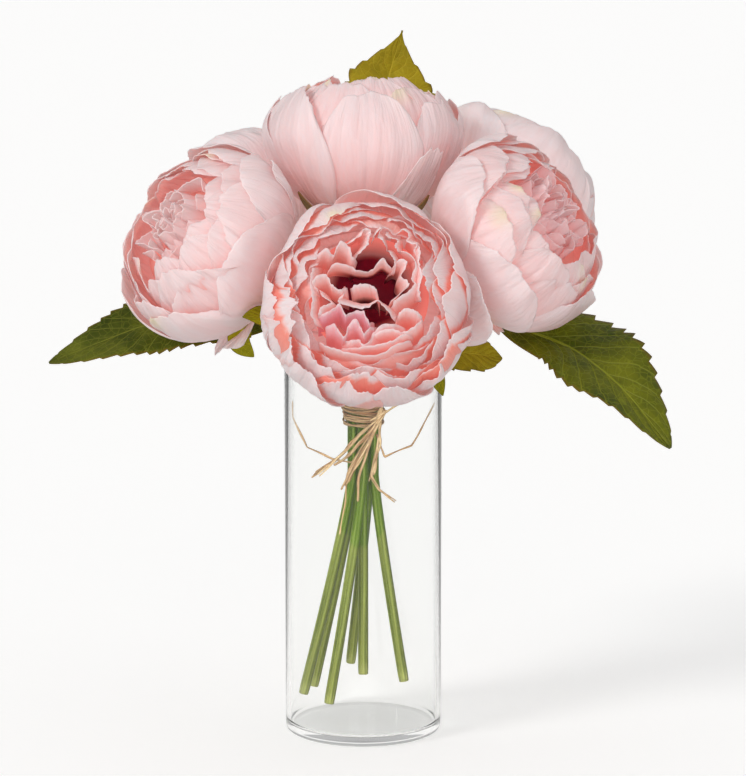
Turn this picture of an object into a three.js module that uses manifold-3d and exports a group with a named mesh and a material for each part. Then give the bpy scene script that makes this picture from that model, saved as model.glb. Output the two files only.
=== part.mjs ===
// A bunch of six full double peonies, tied with raffia and standing dry in a plain glass cylinder.
// Millimetres, +Z up. The origin is the middle of the vase's foot. The front of the bunch faces -Y, and +X
// is on its right.
import * as THREE from 'three';
import { mergeVertices } from 'three/addons/utils/BufferGeometryUtils.js';
import Module from 'manifold-3d';

const wasm = await Module();
wasm.setup();

const degree = Math.PI / 180;
const vec = (x, y, z) => new THREE.Vector3(x, y, z);
const mix = (a, b, t) => a + (b - a) * t;

// ---- Driving dimensions ----

const vase = { radius: 41.5, height: 203, wall: 2.5, floor: 4.5, footRound: 3, rimRound: 1.1, sides: 32 };

// The bunch is gathered at the tie: one stem in the middle and five on a ring round it. The stems run
// straight between the two tie heights and lean on each other there.
const stem = { radius: 2.75, sides: 6, steps: 15, ringRadius: 5.95, tieLow: 136, tieHigh: 178 };
const gap = 0.4; // clear space between pieces that touch

// The raffia: three turns side by side, each bulging a little, and a knot at the right of the front.
const tie = { low: 164, high: 174.7, inner: 9.2, outer: 11, bulge: 0.9, turns: 3, sides: 16 };
const knot = { place: [8.6, -9.6, 168.5], half: [3.6, 2.6, 4.2], turn: 45 };

// Raffia tails: points from the knot to the free end, width, thickness and steps.
const tails = [
  [[[8.6, -10.4, 168.5], [-2, -14.2, 160], [-12, -17.5, 150], [-24.6, -20, 139]], 3.4, 1.1, 4],
  [[[8.6, -10.6, 167.5], [3, -14, 157], [-3, -16, 147], [-9.5, -16.5, 136.5]], 3.6, 1.1, 4],
  [[[9, -10.8, 167], [8, -14.5, 155], [5.5, -15.5, 142], [7, -15, 132.5], [17, -14, 125]], 2.6, 1, 7],
  [[[8.4, -10.4, 167], [-1, -15.4, 152], [-18, -16.5, 151], [-31, -10, 162], [-36.8, -3, 174]], 1, 0.9, 6],
  [[[9.4, -10.4, 167], [12.5, -16, 152], [24, -16, 158], [32, -12, 166], [36.8, -4, 176]], 1, 0.9, 6],
  [[[10, -9.5, 169], [18, -12, 174], [24, -14, 179]], 1.2, 0.9, 4],
];

// A bloom is a squat ball, deeper below its widest circle than a half ball, open at the crown.
const bloom = { radius: 52, depth: 38, petal: 0.7 };

// The core that carries the petals, as [radius, height] from the widest circle: a short neck and a cap.
const coreOutline = [[0, -40.6], [10, -40.6], [10, -24], [19, -17], [0, -12]];
const coreSides = 6;
const petalCells = 4; // facets across a cupped petal

// Layers of cupped petals, from the outside in: how many, ball size, where root and tip stand in degrees
// above the widest circle, half a petal's width in degrees, how far one edge lies outside and the other
// inside the layer, the first one's place, and rows of facets.
const layers = [
  { count: 5, size: 1.0, root: -82, tip: 36, half: 48, slant: 2.4, start: 18, rows: 4 },
  { count: 4, size: 0.85, root: -79, tip: 45, half: 60, slant: 2.4, start: 54, rows: 3 },
  { count: 4, size: 0.68, root: -77, tip: 52, half: 60, slant: 2.4, start: 10, rows: 3 },
];
const guard = { size: 1.07, root: -70, slant: 1, rows: 3 }; // an odd outer petal that opens out

// Narrow ruffled petals in the mouth, in two rings: how many, distance from the axis, how far they lean
// out, half their width, the height of their free edge above the widest circle, and the wave's first phase.
const ruffleRings = [
  { count: 4, radius: 14.5, lean: 2.5, half: 8, high: 25, start: 0, phase: 1.3 },
  { count: 1, radius: 5.5, lean: 1.5, half: 6, high: 20, start: 40, phase: 2.1 },
];
const ruffle = { low: -15, wave: 2.2, waves: 2.6, dip: 3 };

// The green cup under a bloom, as [radius, depth below the core], and the sepals that lie on the petals:
// how many, how much larger than the ball, where they start and end in degrees, half width, thickness.
const calyxOutline = [[0, 9], [3.35, 9], [6.5, 4.6], [8.5, 0], [0, 0]];
const calyxSides = 7;
const sepal = { count: 4, size: 1.14, root: -85, tip: -64, half: 5.5, thick: 0.9 };

// Each flower: where its bloom stands, which way it faces, what is up on its face, the height of its crown,
// where its stem passes the tie (degrees on the ring, or null for the middle), where the stem ends in the
// vase, the turn of its petals, and its odd outer petals: place, tip and half width in degrees, opening.
const flowers = [
  { name: 'front', centre: [3, -75, 241], axis: [0.02, -0.95, 0.31], up: [0, 0, 1], crown: 40, ring: -90,
    end: [-18, -15, 17], turn: 0, odd: [[-8, 14, 34, 0.15], [-55, 4, 34, 0.03], [-118, 4, 34, 0.03]] },
  { name: 'left', centre: [-79, -30, 264], axis: [-0.72, -0.5, 0.48], up: [0, 0, 1], crown: 42, ring: 198,
    end: [-32, -2, 19], turn: 31, odd: [[-79, -36, 18, 0.12]] },
  { name: 'right', centre: [79, -30, 268], axis: [0.76, -0.42, 0.49], up: [0, 0, 1], crown: 40, ring: -18,
    end: [21.7, -5, 26.5], turn: 11, odd: [] },
  { name: 'top', centre: [0, 5, 312], axis: [0.02, 0.1, 0.995], up: [0, 1, 0], crown: 48, ring: null,
    end: [0, -8, 31], turn: 47, odd: [] },
  { name: 'back_left', centre: [-65, 62, 270], axis: [-0.62, 0.62, 0.48], up: [0, 0, 1], crown: 42, ring: 126,
    end: [-27, 10, 20], turn: 27, odd: [] },
  { name: 'back_right', centre: [76, 62, 283], axis: [0.45, 0.62, 0.64], up: [0, 0, 1], crown: 40, ring: 54,
    end: [-7, 22, 29.5], turn: 61, odd: [] },
];

// Leaves and small bracts: the stem that carries each and the height where it does, the route of the stalk,
// the midrib from the blade's base to its tip, the side that its upper face looks to, half the blade's width
// on each side of the midrib, how drawn out the tip is, and the teeth on each margin.
const leafThick = 0.7;
const leafStalk = 1.3;
const stalkGap = 0.15; // from round to round; their flat sides leave about twice that
const leaves = [
  { name: 'leaf_left', on: 'left', at: 203, stalk: [[-30, -2, 213]],
    rib: [[-48, 0, 219], [-85, -4, 219.4], [-111, -8, 218.3], [-134, -14, 211], [-163, -20, 200]],
    face: [-0.1, -0.62, 0.78], half: [23, 14], teeth: 5 },
  { name: 'leaf_right', on: 'right', at: 203, stalk: [[34, -6, 213], [58, -6, 221.5]],
    rib: [[72, -10, 220.5], [102, -21, 210.6], [119, -33, 201], [136, -46, 186.3], [156, -60, 162]],
    face: [0.35, -0.5, 0.79], half: [30, 24], teeth: 5 },
  { name: 'leaf_top', on: 'back_right', at: 210, stalk: [[12, 34, 240], [4, 60, 280]],
    rib: [[5, 64, 299], [11, 64, 333], [15, 63, 349.2], [21, 60, 369]],
    face: [0.1, -0.95, 0.3], half: [22, 28], point: 1.6, teeth: 4 },
  { name: 'leaf_low', on: 'front', at: 196, stalk: [[22, -17, 205]],
    rib: [[37, -28, 205], [50, -30, 206.5], [62, -28, 205], [72, -24, 203]],
    face: [0.1, -0.75, 0.66], half: [12, 12], teeth: 3 },
  { name: 'leaf_back_left', on: 'back_left', at: 193, stalk: [[-20.1, 34.6, 204.6]],
    rib: [[-27, 47, 209], [-40, 72, 214], [-52, 97, 216], [-62, 120, 212]],
    face: [-0.1, 0.2, 0.97], half: [21, 21], teeth: 5 },
  { name: 'leaf_back_right', on: 'back_right', at: 193, stalk: [[20.1, 34.6, 204.6]],
    rib: [[27, 47, 209], [42, 72, 215], [56, 96, 218], [70, 116, 214]],
    face: [0.1, 0.2, 0.97], half: [21, 21], teeth: 5 },
  { name: 'bract_upper', on: 'front', at: 206, stalk: [[-13, -27, 221]],
    rib: [[-33, -42, 226], [-48, -57, 228.5], [-60, -68, 230.3]],
    face: [-0.3, -0.8, 0.5], half: [7.5, 7.5], teeth: 0 },
  { name: 'bract_lower', on: 'left', at: 206, stalk: [[-30, -12, 214], [-50, -24, 225]],
    rib: [[-60.5, -29, 222], [-63.1, -33, 213.3], [-56, -34, 205.2]],
    face: [-0.3, -0.9, -0.1], half: [6.5, 6.5], teeth: 0 },
  { name: 'bract_front', on: 'front', at: 200, stalk: [[12, -28, 205.5], [20, -42, 208]],
    rib: [[28, -48, 206], [36, -53, 199], [40.7, -56, 188.5]],
    face: [0.4, -0.7, 0.3], half: [5.5, 5.5], teeth: 0 },
];

// ---- Materials ----

function material(color, roughness, metalness = 0) {
  return new THREE.MeshStandardMaterial({ color, roughness, metalness });
}

// ---- Solids ----

// A closed solid from a geometry: vertices that share a place are merged, and flat triangles dropped.
function solidOf(geometry) {
  const bare = geometry.clone();
  for (const extra of ['normal', 'uv']) bare.deleteAttribute(extra);
  const merged = mergeVertices(bare, 1e-4);
  const points = merged.attributes.position.array;
  const index = merged.index.array;
  const triangles = [];
  for (let i = 0; i < index.length; i += 3) {
    const [a, b, c] = [index[i], index[i + 1], index[i + 2]];
    if (a !== b && b !== c && c !== a) triangles.push(a, b, c);
  }
  if (signedVolume(points, triangles) < 0) triangles.reverse();
  return new wasm.Manifold(new wasm.Mesh({
    numProp: 3,
    vertProperties: new Float32Array(points),
    triVerts: new Uint32Array(triangles),
  }));
}

function signedVolume(points, triangles) {
  const corner = (k) => vec(points[3 * k], points[3 * k + 1], points[3 * k + 2]);
  let six = 0;
  for (let i = 0; i < triangles.length; i += 3) {
    six += corner(triangles[i]).dot(corner(triangles[i + 1]).cross(corner(triangles[i + 2])));
  }
  return six / 6;
}

// Joins solids into one body. What stays loose, and any hollow that the joining seals, is left out.
function fuse(solids) {
  const joined = solids.reduce((sum, next) => sum.add(next));
  return joined.decompose().reduce((best, body) => (body.volume() > best.volume() ? body : best));
}

function meshOf(name, solid, look) {
  const { vertProperties, triVerts } = solid.getMesh();
  const geometry = new THREE.BufferGeometry();
  geometry.setAttribute('position', new THREE.BufferAttribute(new Float32Array(vertProperties), 3));
  geometry.setIndex(new THREE.BufferAttribute(new Uint32Array(triVerts), 1));
  geometry.computeVertexNormals();
  const mesh = new THREE.Mesh(geometry, look);
  mesh.name = name;
  return mesh;
}

// A turned solid from a profile of [radius, height] that starts and ends on the axis.
function turned(profile, sides) {
  const lathe = new THREE.LatheGeometry(profile.map(([r, z]) => new THREE.Vector2(r, z)), sides);
  return lathe.rotateX(90 * degree);
}

// A tube of flat sides along a smooth curve through the points.
function tube(points, radius, sides, steps) {
  const section = new THREE.Shape();
  for (let k = 0; k < sides; k++) {
    const angle = (2 * Math.PI * (k + 0.5)) / sides;
    const [x, y] = [radius * Math.cos(angle), radius * Math.sin(angle)];
    if (k === 0) section.moveTo(x, y);
    else section.lineTo(x, y);
  }
  section.closePath();
  const extrudePath = new THREE.CatmullRomCurve3(points);
  return new THREE.ExtrudeGeometry(section, { steps, extrudePath, bevelEnabled: false });
}

// A thin sheet with thickness, from a grid of points: place(along, across) gives the middle of the sheet
// for along 0..1 and across -1..1. Both faces are split into triangles alike.
function sheet(place, alongValues, acrossCount, thickness) {
  const rows = alongValues.length;
  const columns = acrossCount + 1;
  const middle = alongValues.map((along) => (
    Array.from({ length: columns }, (_, j) => place(along, mix(-1, 1, j / acrossCount)))
  ));
  const { clamp } = THREE.MathUtils;
  const at = (i, j) => middle[clamp(i, 0, rows - 1)][clamp(j, 0, columns - 1)];
  const positions = [];
  for (const side of [0.5, -0.5]) {
    for (let i = 0; i < rows; i++) {
      for (let j = 0; j < columns; j++) {
        const lengthwise = at(i + 1, j).clone().sub(at(i - 1, j));
        const crosswise = at(i, j + 1).clone().sub(at(i, j - 1));
        const normal = crosswise.cross(lengthwise).normalize();
        positions.push(...at(i, j).clone().addScaledVector(normal, side * thickness));
      }
    }
  }
  const other = rows * columns;
  const index = [];
  const quad = (a, b, c, d) => index.push(a, b, c, a, c, d);
  for (let i = 0; i < rows - 1; i++) {
    for (let j = 0; j < columns - 1; j++) {
      const [a, b] = [i * columns + j, i * columns + j + 1];
      const [c, d] = [b + columns, a + columns];
      index.push(a, b, c, a, c, d, other + a, other + c, other + b, other + a, other + d, other + c);
    }
  }
  for (let j = 0; j < columns - 1; j++) {
    const last = (rows - 1) * columns + j;
    quad(j, other + j, other + j + 1, j + 1);
    quad(last + 1, other + last + 1, other + last, last);
  }
  for (let i = 0; i < rows - 1; i++) {
    const [low, high] = [i * columns, (i + 1) * columns];
    quad(high, other + high, other + low, low);
    quad(low + columns - 1, other + low + columns - 1, other + high + columns - 1, high + columns - 1);
  }
  const geometry = new THREE.BufferGeometry();
  geometry.setAttribute('position', new THREE.Float32BufferAttribute(positions, 3));
  geometry.setIndex(index);
  return geometry;
}

const steps = (count) => Array.from({ length: count + 1 }, (_, i) => i / count);

// ---- Flowers: frames and the room between neighbours ----

for (const flower of flowers) {
  flower.middle = vec(...flower.centre);
  flower.z = vec(...flower.axis).normalize();
  flower.x = vec(...flower.up).cross(flower.z).normalize();
  flower.y = flower.z.clone().cross(flower.x);
}

const fromBloom = (flower, x, y, z) => flower.middle.clone()
  .addScaledVector(flower.x, x).addScaledVector(flower.y, y).addScaledVector(flower.z, z);

// How far a bloom's ball reaches from its centre in a direction.
function reach(flower, direction) {
  const along = direction.dot(flower.z);
  return Math.sqrt(bloom.radius ** 2 * (1 - along ** 2) + bloom.depth ** 2 * along ** 2);
}

// Blooms press flat against each other. Every pair that would meet gets a plane between them, and
// petals that come within the soft zone of it, or past it, are drawn back to their own side.
const softZone = 12;
const pressGap = 1.3;
for (const flower of flowers) {
  flower.walls = [];
  for (const other of flowers) {
    if (other === flower) continue;
    const away = other.middle.clone().sub(flower.middle);
    const distance = away.length();
    const normal = away.normalize();
    const [mine, theirs] = [reach(flower, normal), reach(other, normal)];
    if (mine + theirs + 8 < distance) continue;
    const offset = (distance * mine) / (mine + theirs) - pressGap / 2;
    flower.walls.push({ point: flower.middle.clone().addScaledVector(normal, offset), normal });
  }
}

function pressed(flower, place) {
  for (const wall of flower.walls) {
    const past = place.clone().sub(wall.point).dot(wall.normal);
    if (past > -softZone) {
      const kept = -softZone * Math.exp(-(past + softZone) / softZone);
      place.addScaledVector(wall.normal, kept - past);
    }
  }
  return place;
}

// ---- Blooms ----

// A cupped petal follows the ball's meridians from the base to its tip, is widest past the middle and
// round at the tip. One edge lies outside its layer and the other inside, so neighbours overlap.
function cuppedPetal(flower, layer, place, opening = 0) {
  const surface = (along, across) => {
    const round = 1 - 0.24 * Math.abs(across) ** 2.5;
    const rise = mix(layer.root, layer.tip, along * round) * degree;
    const width = Math.sin(Math.PI * (0.07 + 0.7 * along)) ** 0.7;
    const around = (place + across * layer.half * width) * degree;
    const size = layer.size + opening * along ** 3 + (layer.slant * across) / bloom.radius;
    const radius = size * bloom.radius * Math.cos(rise);
    const lift = rise < 0 ? size * bloom.depth : mix(size, 1, 0.6) * flower.crown;
    const height = lift * Math.sin(rise);
    return pressed(flower, fromBloom(flower, radius * Math.cos(around), radius * Math.sin(around), height));
  };
  return sheet(surface, steps(layer.rows), petalCells, bloom.petal);
}

// A narrow inner petal stands up from the core and is ruffled along its free edge.
function ruffledPetal(flower, ring, place, phase) {
  const surface = (along, across) => {
    const wave = ruffle.wave * along * Math.sin(ruffle.waves * across + phase);
    const out = ring.radius + ring.lean * along + wave;
    const around = place * degree + (across * ring.half * mix(0.55, 1, along)) / ring.radius;
    const edge = ring.high - ruffle.dip * across ** 2 + ruffle.wave * Math.cos(ruffle.waves * across + phase);
    const height = mix(ruffle.low, edge, along);
    return pressed(flower, fromBloom(flower, out * Math.cos(around), out * Math.sin(around), height));
  };
  return sheet(surface, steps(2), 3, bloom.petal);
}

function bloomOf(flower) {
  const core = turned(coreOutline, coreSides);
  const basis = new THREE.Matrix4().makeBasis(flower.x, flower.y, flower.z).setPosition(flower.middle);
  const parts = [solidOf(core.applyMatrix4(basis))];
  for (const layer of layers) {
    for (let k = 0; k < layer.count; k++) {
      const place = flower.turn + layer.start + (360 * k) / layer.count;
      parts.push(solidOf(cuppedPetal(flower, layer, place)));
    }
  }
  for (const [place, tip, half, opening] of flower.odd) {
    parts.push(solidOf(cuppedPetal(flower, { ...guard, tip, half }, place, opening)));
  }
  for (const ring of ruffleRings) {
    for (let k = 0; k < ring.count; k++) {
      const place = flower.turn + ring.start + (360 * k) / ring.count;
      parts.push(solidOf(ruffledPetal(flower, ring, place, ring.phase * k)));
    }
  }
  return fuse(parts);
}

// ---- Stems with their calyx and sepals ----

const calyxTop = coreOutline[0][1] - gap;

function stemRoute(flower) {
  const ring = flower.ring === null ? vec(0, 0, 0)
    : vec(Math.cos(flower.ring * degree), Math.sin(flower.ring * degree), 0).multiplyScalar(stem.ringRadius);
  const tieLow = ring.clone().setZ(stem.tieLow);
  const tieMiddle = ring.clone().setZ(mix(stem.tieLow, stem.tieHigh, 0.5));
  const tieHigh = ring.clone().setZ(stem.tieHigh);
  const end = vec(...flower.end);
  const bend = end.clone().lerp(tieLow, 0.72).setX(mix(end.x, ring.x, 0.8));
  const arrive = fromBloom(flower, 0, 0, calyxTop - calyxOutline[0][1] + 1);
  const drop = tieHigh.distanceTo(arrive);
  const rise = new THREE.CubicBezierCurve3(
    tieHigh,
    tieHigh.clone().setZ(stem.tieHigh + 0.35 * drop),
    arrive.clone().addScaledVector(flower.z, -0.35 * drop),
    arrive,
  );
  const spread = new THREE.QuadraticBezierCurve3(end, bend, tieLow);
  return [...spread.getPoints(4), tieMiddle, ...rise.getPoints(6)];
}

// A sepal lies along the underside of the bloom, just clear of its petals.
function sepalOf(flower, place) {
  const surface = (along, across) => {
    const rise = mix(sepal.root, sepal.tip, along) * degree;
    const half = sepal.half * Math.sin(Math.PI * (0.22 + 0.76 * along)) ** 0.7;
    const radius = bloom.radius * sepal.size * Math.cos(rise);
    const around = place * degree + (across * half) / Math.max(radius, 5);
    const height = bloom.depth * sepal.size * Math.sin(rise);
    return pressed(flower, fromBloom(flower, radius * Math.cos(around), radius * Math.sin(around), height));
  };
  return sheet(surface, steps(2), 2, sepal.thick);
}

function stemOf(flower) {
  flower.route = new THREE.CatmullRomCurve3(stemRoute(flower));
  const calyx = turned(calyxOutline.map(([r, below]) => [r, calyxTop - below]), calyxSides);
  const basis = new THREE.Matrix4().makeBasis(flower.x, flower.y, flower.z).setPosition(flower.middle);
  const parts = [
    solidOf(tube(stemRoute(flower), stem.radius, stem.sides, stem.steps)),
    solidOf(calyx.applyMatrix4(basis)),
  ];
  for (let k = 0; k < sepal.count; k++) {
    const place = flower.turn + (360 * (k + 0.5)) / sepal.count;
    parts.push(solidOf(sepalOf(flower, place)));
  }
  return fuse(parts);
}

// ---- Leaves ----

// The point where a stem's middle line passes a height.
function stemAt(flower, height) {
  let [from, to] = [0, 1];
  for (let k = 0; k < 40; k++) {
    const middle = (from + to) / 2;
    if (flower.route.getPoint(middle).z < height) from = middle;
    else to = middle;
  }
  return flower.route.getPoint(from);
}

const stemDirection = (flower, height) => stemAt(flower, height + 1).sub(stemAt(flower, height)).normalize();

// Rows of a blade: a row at the tip of each tooth and one at the notch after it.
function toothRows(teeth) {
  if (teeth === 0) return steps(3).map((along) => ({ along, cut: 1 }));
  const rows = [{ along: 0, cut: 1 }, { along: 0.14, cut: 1 }];
  for (let k = 0; k < teeth; k++) {
    const along = mix(0.28, 0.86, k / (teeth - 1));
    rows.push({ along, cut: 1.06 }, { along: along + 0.035, cut: 0.86 });
  }
  rows.push({ along: 1, cut: 1 });
  return rows;
}

function leafOf(leaf) {
  const carrier = flowers.find((flower) => flower.name === leaf.on);
  const root = stemAt(carrier, leaf.at);
  const rib = new THREE.CatmullRomCurve3(leaf.rib.map((p) => vec(...p)));
  const face = vec(...leaf.face).normalize();
  const first = vec(...leaf.stalk[0]);
  const beside = first.clone().sub(root).projectOnPlane(stemDirection(carrier, leaf.at)).normalize();
  const start = root.clone().addScaledVector(beside, stem.radius + leafStalk + stalkGap);
  const rows = toothRows(leaf.teeth);
  const surface = (along, across) => {
    const cut = rows.find((row) => row.along === along).cut;
    const tangent = rib.getTangent(along);
    const sideways = tangent.clone().cross(face).normalize();
    const out = sideways.clone().cross(tangent).normalize();
    const broad = leaf.half[across < 0 ? 0 : 1];
    const outline = Math.sin(Math.PI * (0.03 + 0.965 * along) ** 0.86) ** (leaf.point ?? 0.8);
    const half = Math.max(0.8, broad * outline * cut);
    const fold = 0.22 * half * Math.abs(across) - 0.1 * half * across ** 2;
    return rib.getPoint(along).addScaledVector(sideways, across * half).addScaledVector(out, fold);
  };
  const blade = sheet(surface, rows.map((row) => row.along), 2, leafThick);
  const route = [start, ...leaf.stalk.map((p) => vec(...p)), rib.getPoint(0), rib.getPoint(0.1)];
  return fuse([solidOf(blade), solidOf(tube(route, leafStalk, 5, 5))]);
}

// ---- Vase ----

function vaseBody() {
  const { radius, height, wall, floor, footRound, rimRound } = vase;
  const inside = radius - wall;
  const arc = (r, z, size, from, to, count) => steps(count).map((t) => {
    const angle = mix(from, to, t) * degree;
    return [r + size * Math.cos(angle), z + size * Math.sin(angle)];
  });
  return turned([
    [0, 0],
    ...arc(radius - footRound, footRound, footRound, -90, 0, 2),
    ...arc(radius - rimRound, height - rimRound, rimRound, 0, 90, 1),
    ...arc(inside + rimRound, height - rimRound, rimRound, 90, 180, 1),
    ...arc(inside - footRound, floor + footRound, footRound, 0, -90, 2),
    [0, floor],
  ], vase.sides);
}

// ---- Raffia tie ----

// The tails hang from the knot in front of the stems.
function raffiaTie() {
  const turn = (tie.high - tie.low) / tie.turns;
  const groove = tie.outer - tie.bulge;
  const outline = [];
  for (let k = 0; k < tie.turns; k++) {
    const low = tie.low + k * turn;
    outline.push([groove, low], [tie.outer, low + 0.5 * turn]);
  }
  outline.push([groove, tie.high], [tie.inner, tie.high], [tie.inner, tie.low], [groove, tie.low]);
  const ball = new THREE.IcosahedronGeometry(1, 1).scale(...knot.half).rotateZ(knot.turn * degree);
  const parts = [solidOf(turned(outline, tie.sides)), solidOf(ball.translate(...knot.place))];
  for (const [points, wide, thick, count] of tails) {
    parts.push(solidOf(strip(points.map((p) => vec(...p)), wide, thick, count)));
  }
  return fuse(parts);
}

function strip(points, wide, thick, count) {
  const section = new THREE.Shape([[-thick, -wide], [thick, -wide], [thick, wide], [-thick, wide]]
    .map(([x, y]) => new THREE.Vector2(x / 2, y / 2)));
  const extrudePath = new THREE.CatmullRomCurve3(points);
  return new THREE.ExtrudeGeometry(section, { steps: count, extrudePath, bevelEnabled: false });
}

// ---- The bunch in its vase ----

const bunch = new THREE.Group();
bunch.add(meshOf('vase', solidOf(vaseBody()), material(0xdfe6e2, 0.05)));
bunch.add(meshOf('raffia_tie', raffiaTie(), material(0xb08a5c, 0.8)));
for (const flower of flowers) {
  bunch.add(meshOf(`stem_${flower.name}`, stemOf(flower), material(0x7f9a3c, 0.5)));
  bunch.add(meshOf(`bloom_${flower.name}`, bloomOf(flower), material(0xecc9c8, 0.75)));
}
for (const leaf of leaves) {
  bunch.add(meshOf(leaf.name, leafOf(leaf), material(0x6f7430, 0.45)));
}

export default bunch;
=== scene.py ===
# Peonies in a vase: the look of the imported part. Sizes are in millimetres until a mesh is made, and the
# front of the bunch faces -Y.
import bmesh
import bpy
import math
import numpy as np
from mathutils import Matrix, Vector


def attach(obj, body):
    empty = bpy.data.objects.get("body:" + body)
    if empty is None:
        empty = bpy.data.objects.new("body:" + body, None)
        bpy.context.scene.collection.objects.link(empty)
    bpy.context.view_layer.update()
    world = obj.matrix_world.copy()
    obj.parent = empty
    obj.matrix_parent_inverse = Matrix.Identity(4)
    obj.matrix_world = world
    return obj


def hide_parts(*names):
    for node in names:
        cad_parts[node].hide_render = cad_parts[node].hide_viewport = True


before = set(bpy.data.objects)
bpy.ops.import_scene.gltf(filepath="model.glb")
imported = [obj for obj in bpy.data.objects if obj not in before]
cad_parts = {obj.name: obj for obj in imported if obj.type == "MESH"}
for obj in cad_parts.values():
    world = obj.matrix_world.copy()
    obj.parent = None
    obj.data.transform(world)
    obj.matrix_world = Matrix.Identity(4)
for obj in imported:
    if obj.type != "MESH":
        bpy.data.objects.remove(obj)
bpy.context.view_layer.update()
print("frame loaded")

mm = 0.001
degree = math.pi / 180


def linear(red, green, blue):
    # a colour of 0..255 as the photograph shows it, in linear light
    values = np.array([red, green, blue], dtype=float) / 255
    low = values / 12.92
    high = ((values + 0.055) / 1.055) ** 2.4
    return tuple(np.where(values <= 0.04045, low, high)) + (1.0,)


class Nodes:
    # short calls that add shader nodes to a new material; a value is a number, a colour or a socket
    def __init__(self, name):
        self.material = bpy.data.materials.new(name)
        self.material.use_nodes = True
        self.tree = self.material.node_tree
        self.shader = self.tree.nodes["Principled BSDF"]

    def put(self, socket, value):
        if isinstance(value, bpy.types.NodeSocket):
            self.tree.links.new(value, socket)
        else:
            socket.default_value = value

    def add(self, kind, values):
        node = self.tree.nodes.new("ShaderNode" + kind)
        for key, value in values.items():
            self.put(node.inputs[key], value)
        return node

    def math(self, operation, first, second=0.0, clamp=False):
        node = self.add("Math", {0: first, 1: second})
        node.operation = operation
        node.use_clamp = clamp
        return node.outputs[0]

    def total(self, *terms):
        # the sum of values, each times its own amount
        products = [self.math("MULTIPLY", value, amount) for value, amount in terms]
        result = products[0]
        for product in products[1:]:
            result = self.math("ADD", result, product)
        return result

    def ramp(self, value, stops):
        # from place to place, each with a colour or a level of grey
        node = self.add("ValToRGB", {0: value})
        elements = node.color_ramp.elements
        while len(elements) < len(stops):
            elements.new(0.5)
        for element, (place, colour) in zip(elements, stops):
            element.position = place
            element.color = colour if isinstance(colour, tuple) else (colour, colour, colour, 1)
        return node.outputs[0]

    def blend(self, amount, first, second):
        node = self.tree.nodes.new("ShaderNodeMix")
        node.data_type = "RGBA"
        node.clamp_factor = True
        self.put(node.inputs["Factor"], amount)
        self.put(node.inputs["A"], first)
        self.put(node.inputs["B"], second)
        return node.outputs["Result"]

    def noise(self, vector, scale, detail=3.0, rough=0.5, distortion=0.0):
        node = self.add("TexNoise", {"Vector": vector, "Scale": scale, "Detail": detail, "Roughness": rough,
                                     "Distortion": distortion})
        return node.outputs["Fac"]

    def lengthwise(self, scales, detail, rough=0.5, distortion=0.0):
        # noise drawn out along a piece: scales across it, along it and from one petal or strand to the next
        values = (*self.surfacePlace(), self.data()[1])
        scaled = [self.math("MULTIPLY", value, scale) for value, scale in zip(values, scales)]
        return self.noise(self.join(*scaled), 1.0, detail, rough, distortion)

    def place(self):
        return self.add("TexCoord", {}).outputs["Object"]

    def surfacePlace(self):
        # across and along the piece, each from 0 to 1
        return self.split(self.add("TexCoord", {}).outputs["UV"])[:2]

    def data(self):
        # the four numbers that each point of a piece carries
        node = self.add("Attribute", {})
        node.attribute_name = "data"
        split = self.add("SeparateColor", {0: node.outputs["Color"]})
        return (*split.outputs, node.outputs["Alpha"])

    def split(self, vector):
        return tuple(self.add("SeparateXYZ", {0: vector}).outputs)

    def join(self, x, y, z=0.0):
        return self.add("CombineXYZ", {0: x, 1: y, 2: z}).outputs[0]

    def bump(self, height, distance, strength):
        node = self.add("Bump", {"Height": height, "Distance": distance, "Strength": strength})
        self.put(self.shader.inputs["Normal"], node.outputs[0])

    def surface(self, colour, roughness, **others):
        self.put(self.shader.inputs["Base Color"], colour)
        self.put(self.shader.inputs["Roughness"], roughness)
        for name, value in others.items():
            self.shader.inputs[name.replace("_", " ")].default_value = value
        return self.material

    def instead(self, ray, kind, colour):
        # another shader of one colour takes the place of the first for one kind of ray
        path = self.add("LightPath", {})
        other = self.add(kind, {"Color": colour})
        shaders = (self.shader.outputs[0], other.outputs[0])
        either = self.add("MixShader", {0: path.outputs[ray], 1: shaders[0], 2: shaders[1]})
        self.put(self.tree.nodes["Material Output"].inputs["Surface"], either.outputs[0])


# camera, floor and light

cameraSettings = {
    "place": (0.0052, -1.5, 0.416),  # metres
    "pitch": -8.8,  # degrees, down
    "lens": 133.7,
    "sensor": 36,
}
lightSettings = {
    "worldTop": 0.5,
    "worldSide": 0.49,
    "topFrom": 0.6,  # how high, from the horizon to overhead, the world is as bright as at its top
    "seen": (0.965, 0.965, 0.962),  # what the camera sees past the floor
    "suns": [
        # name, power, degrees across (for soft shadows), where it comes from, whether it throws shadows
        ("key", 1.14, 21, (-0.72, -0.54, 0.48), True),
        ("fill", 1.08, 44, (0.02, -1, 0.24), False),
    ],
    "sunColour": (1.0, 0.985, 0.965),
    "floorColour": (0.9, 0.9, 0.898),
    "floorGlow": 0.3,
    "floorBounce": (0.8, 0.8, 0.79),  # what the floor gives back to the piece
    "floorSize": 60,  # metres
    "floorDrop": 0.0003,
}


def addCamera():
    data = bpy.data.cameras.new("camera")
    data.lens = cameraSettings["lens"]
    data.sensor_width = cameraSettings["sensor"]
    data.sensor_fit = "AUTO"
    data.clip_end = 200
    camera = bpy.data.objects.new("camera", data)
    camera.location = cameraSettings["place"]
    camera.rotation_euler = ((90 + cameraSettings["pitch"]) * degree, 0, 0)
    bpy.context.scene.collection.objects.link(camera)
    bpy.context.scene.camera = camera


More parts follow.
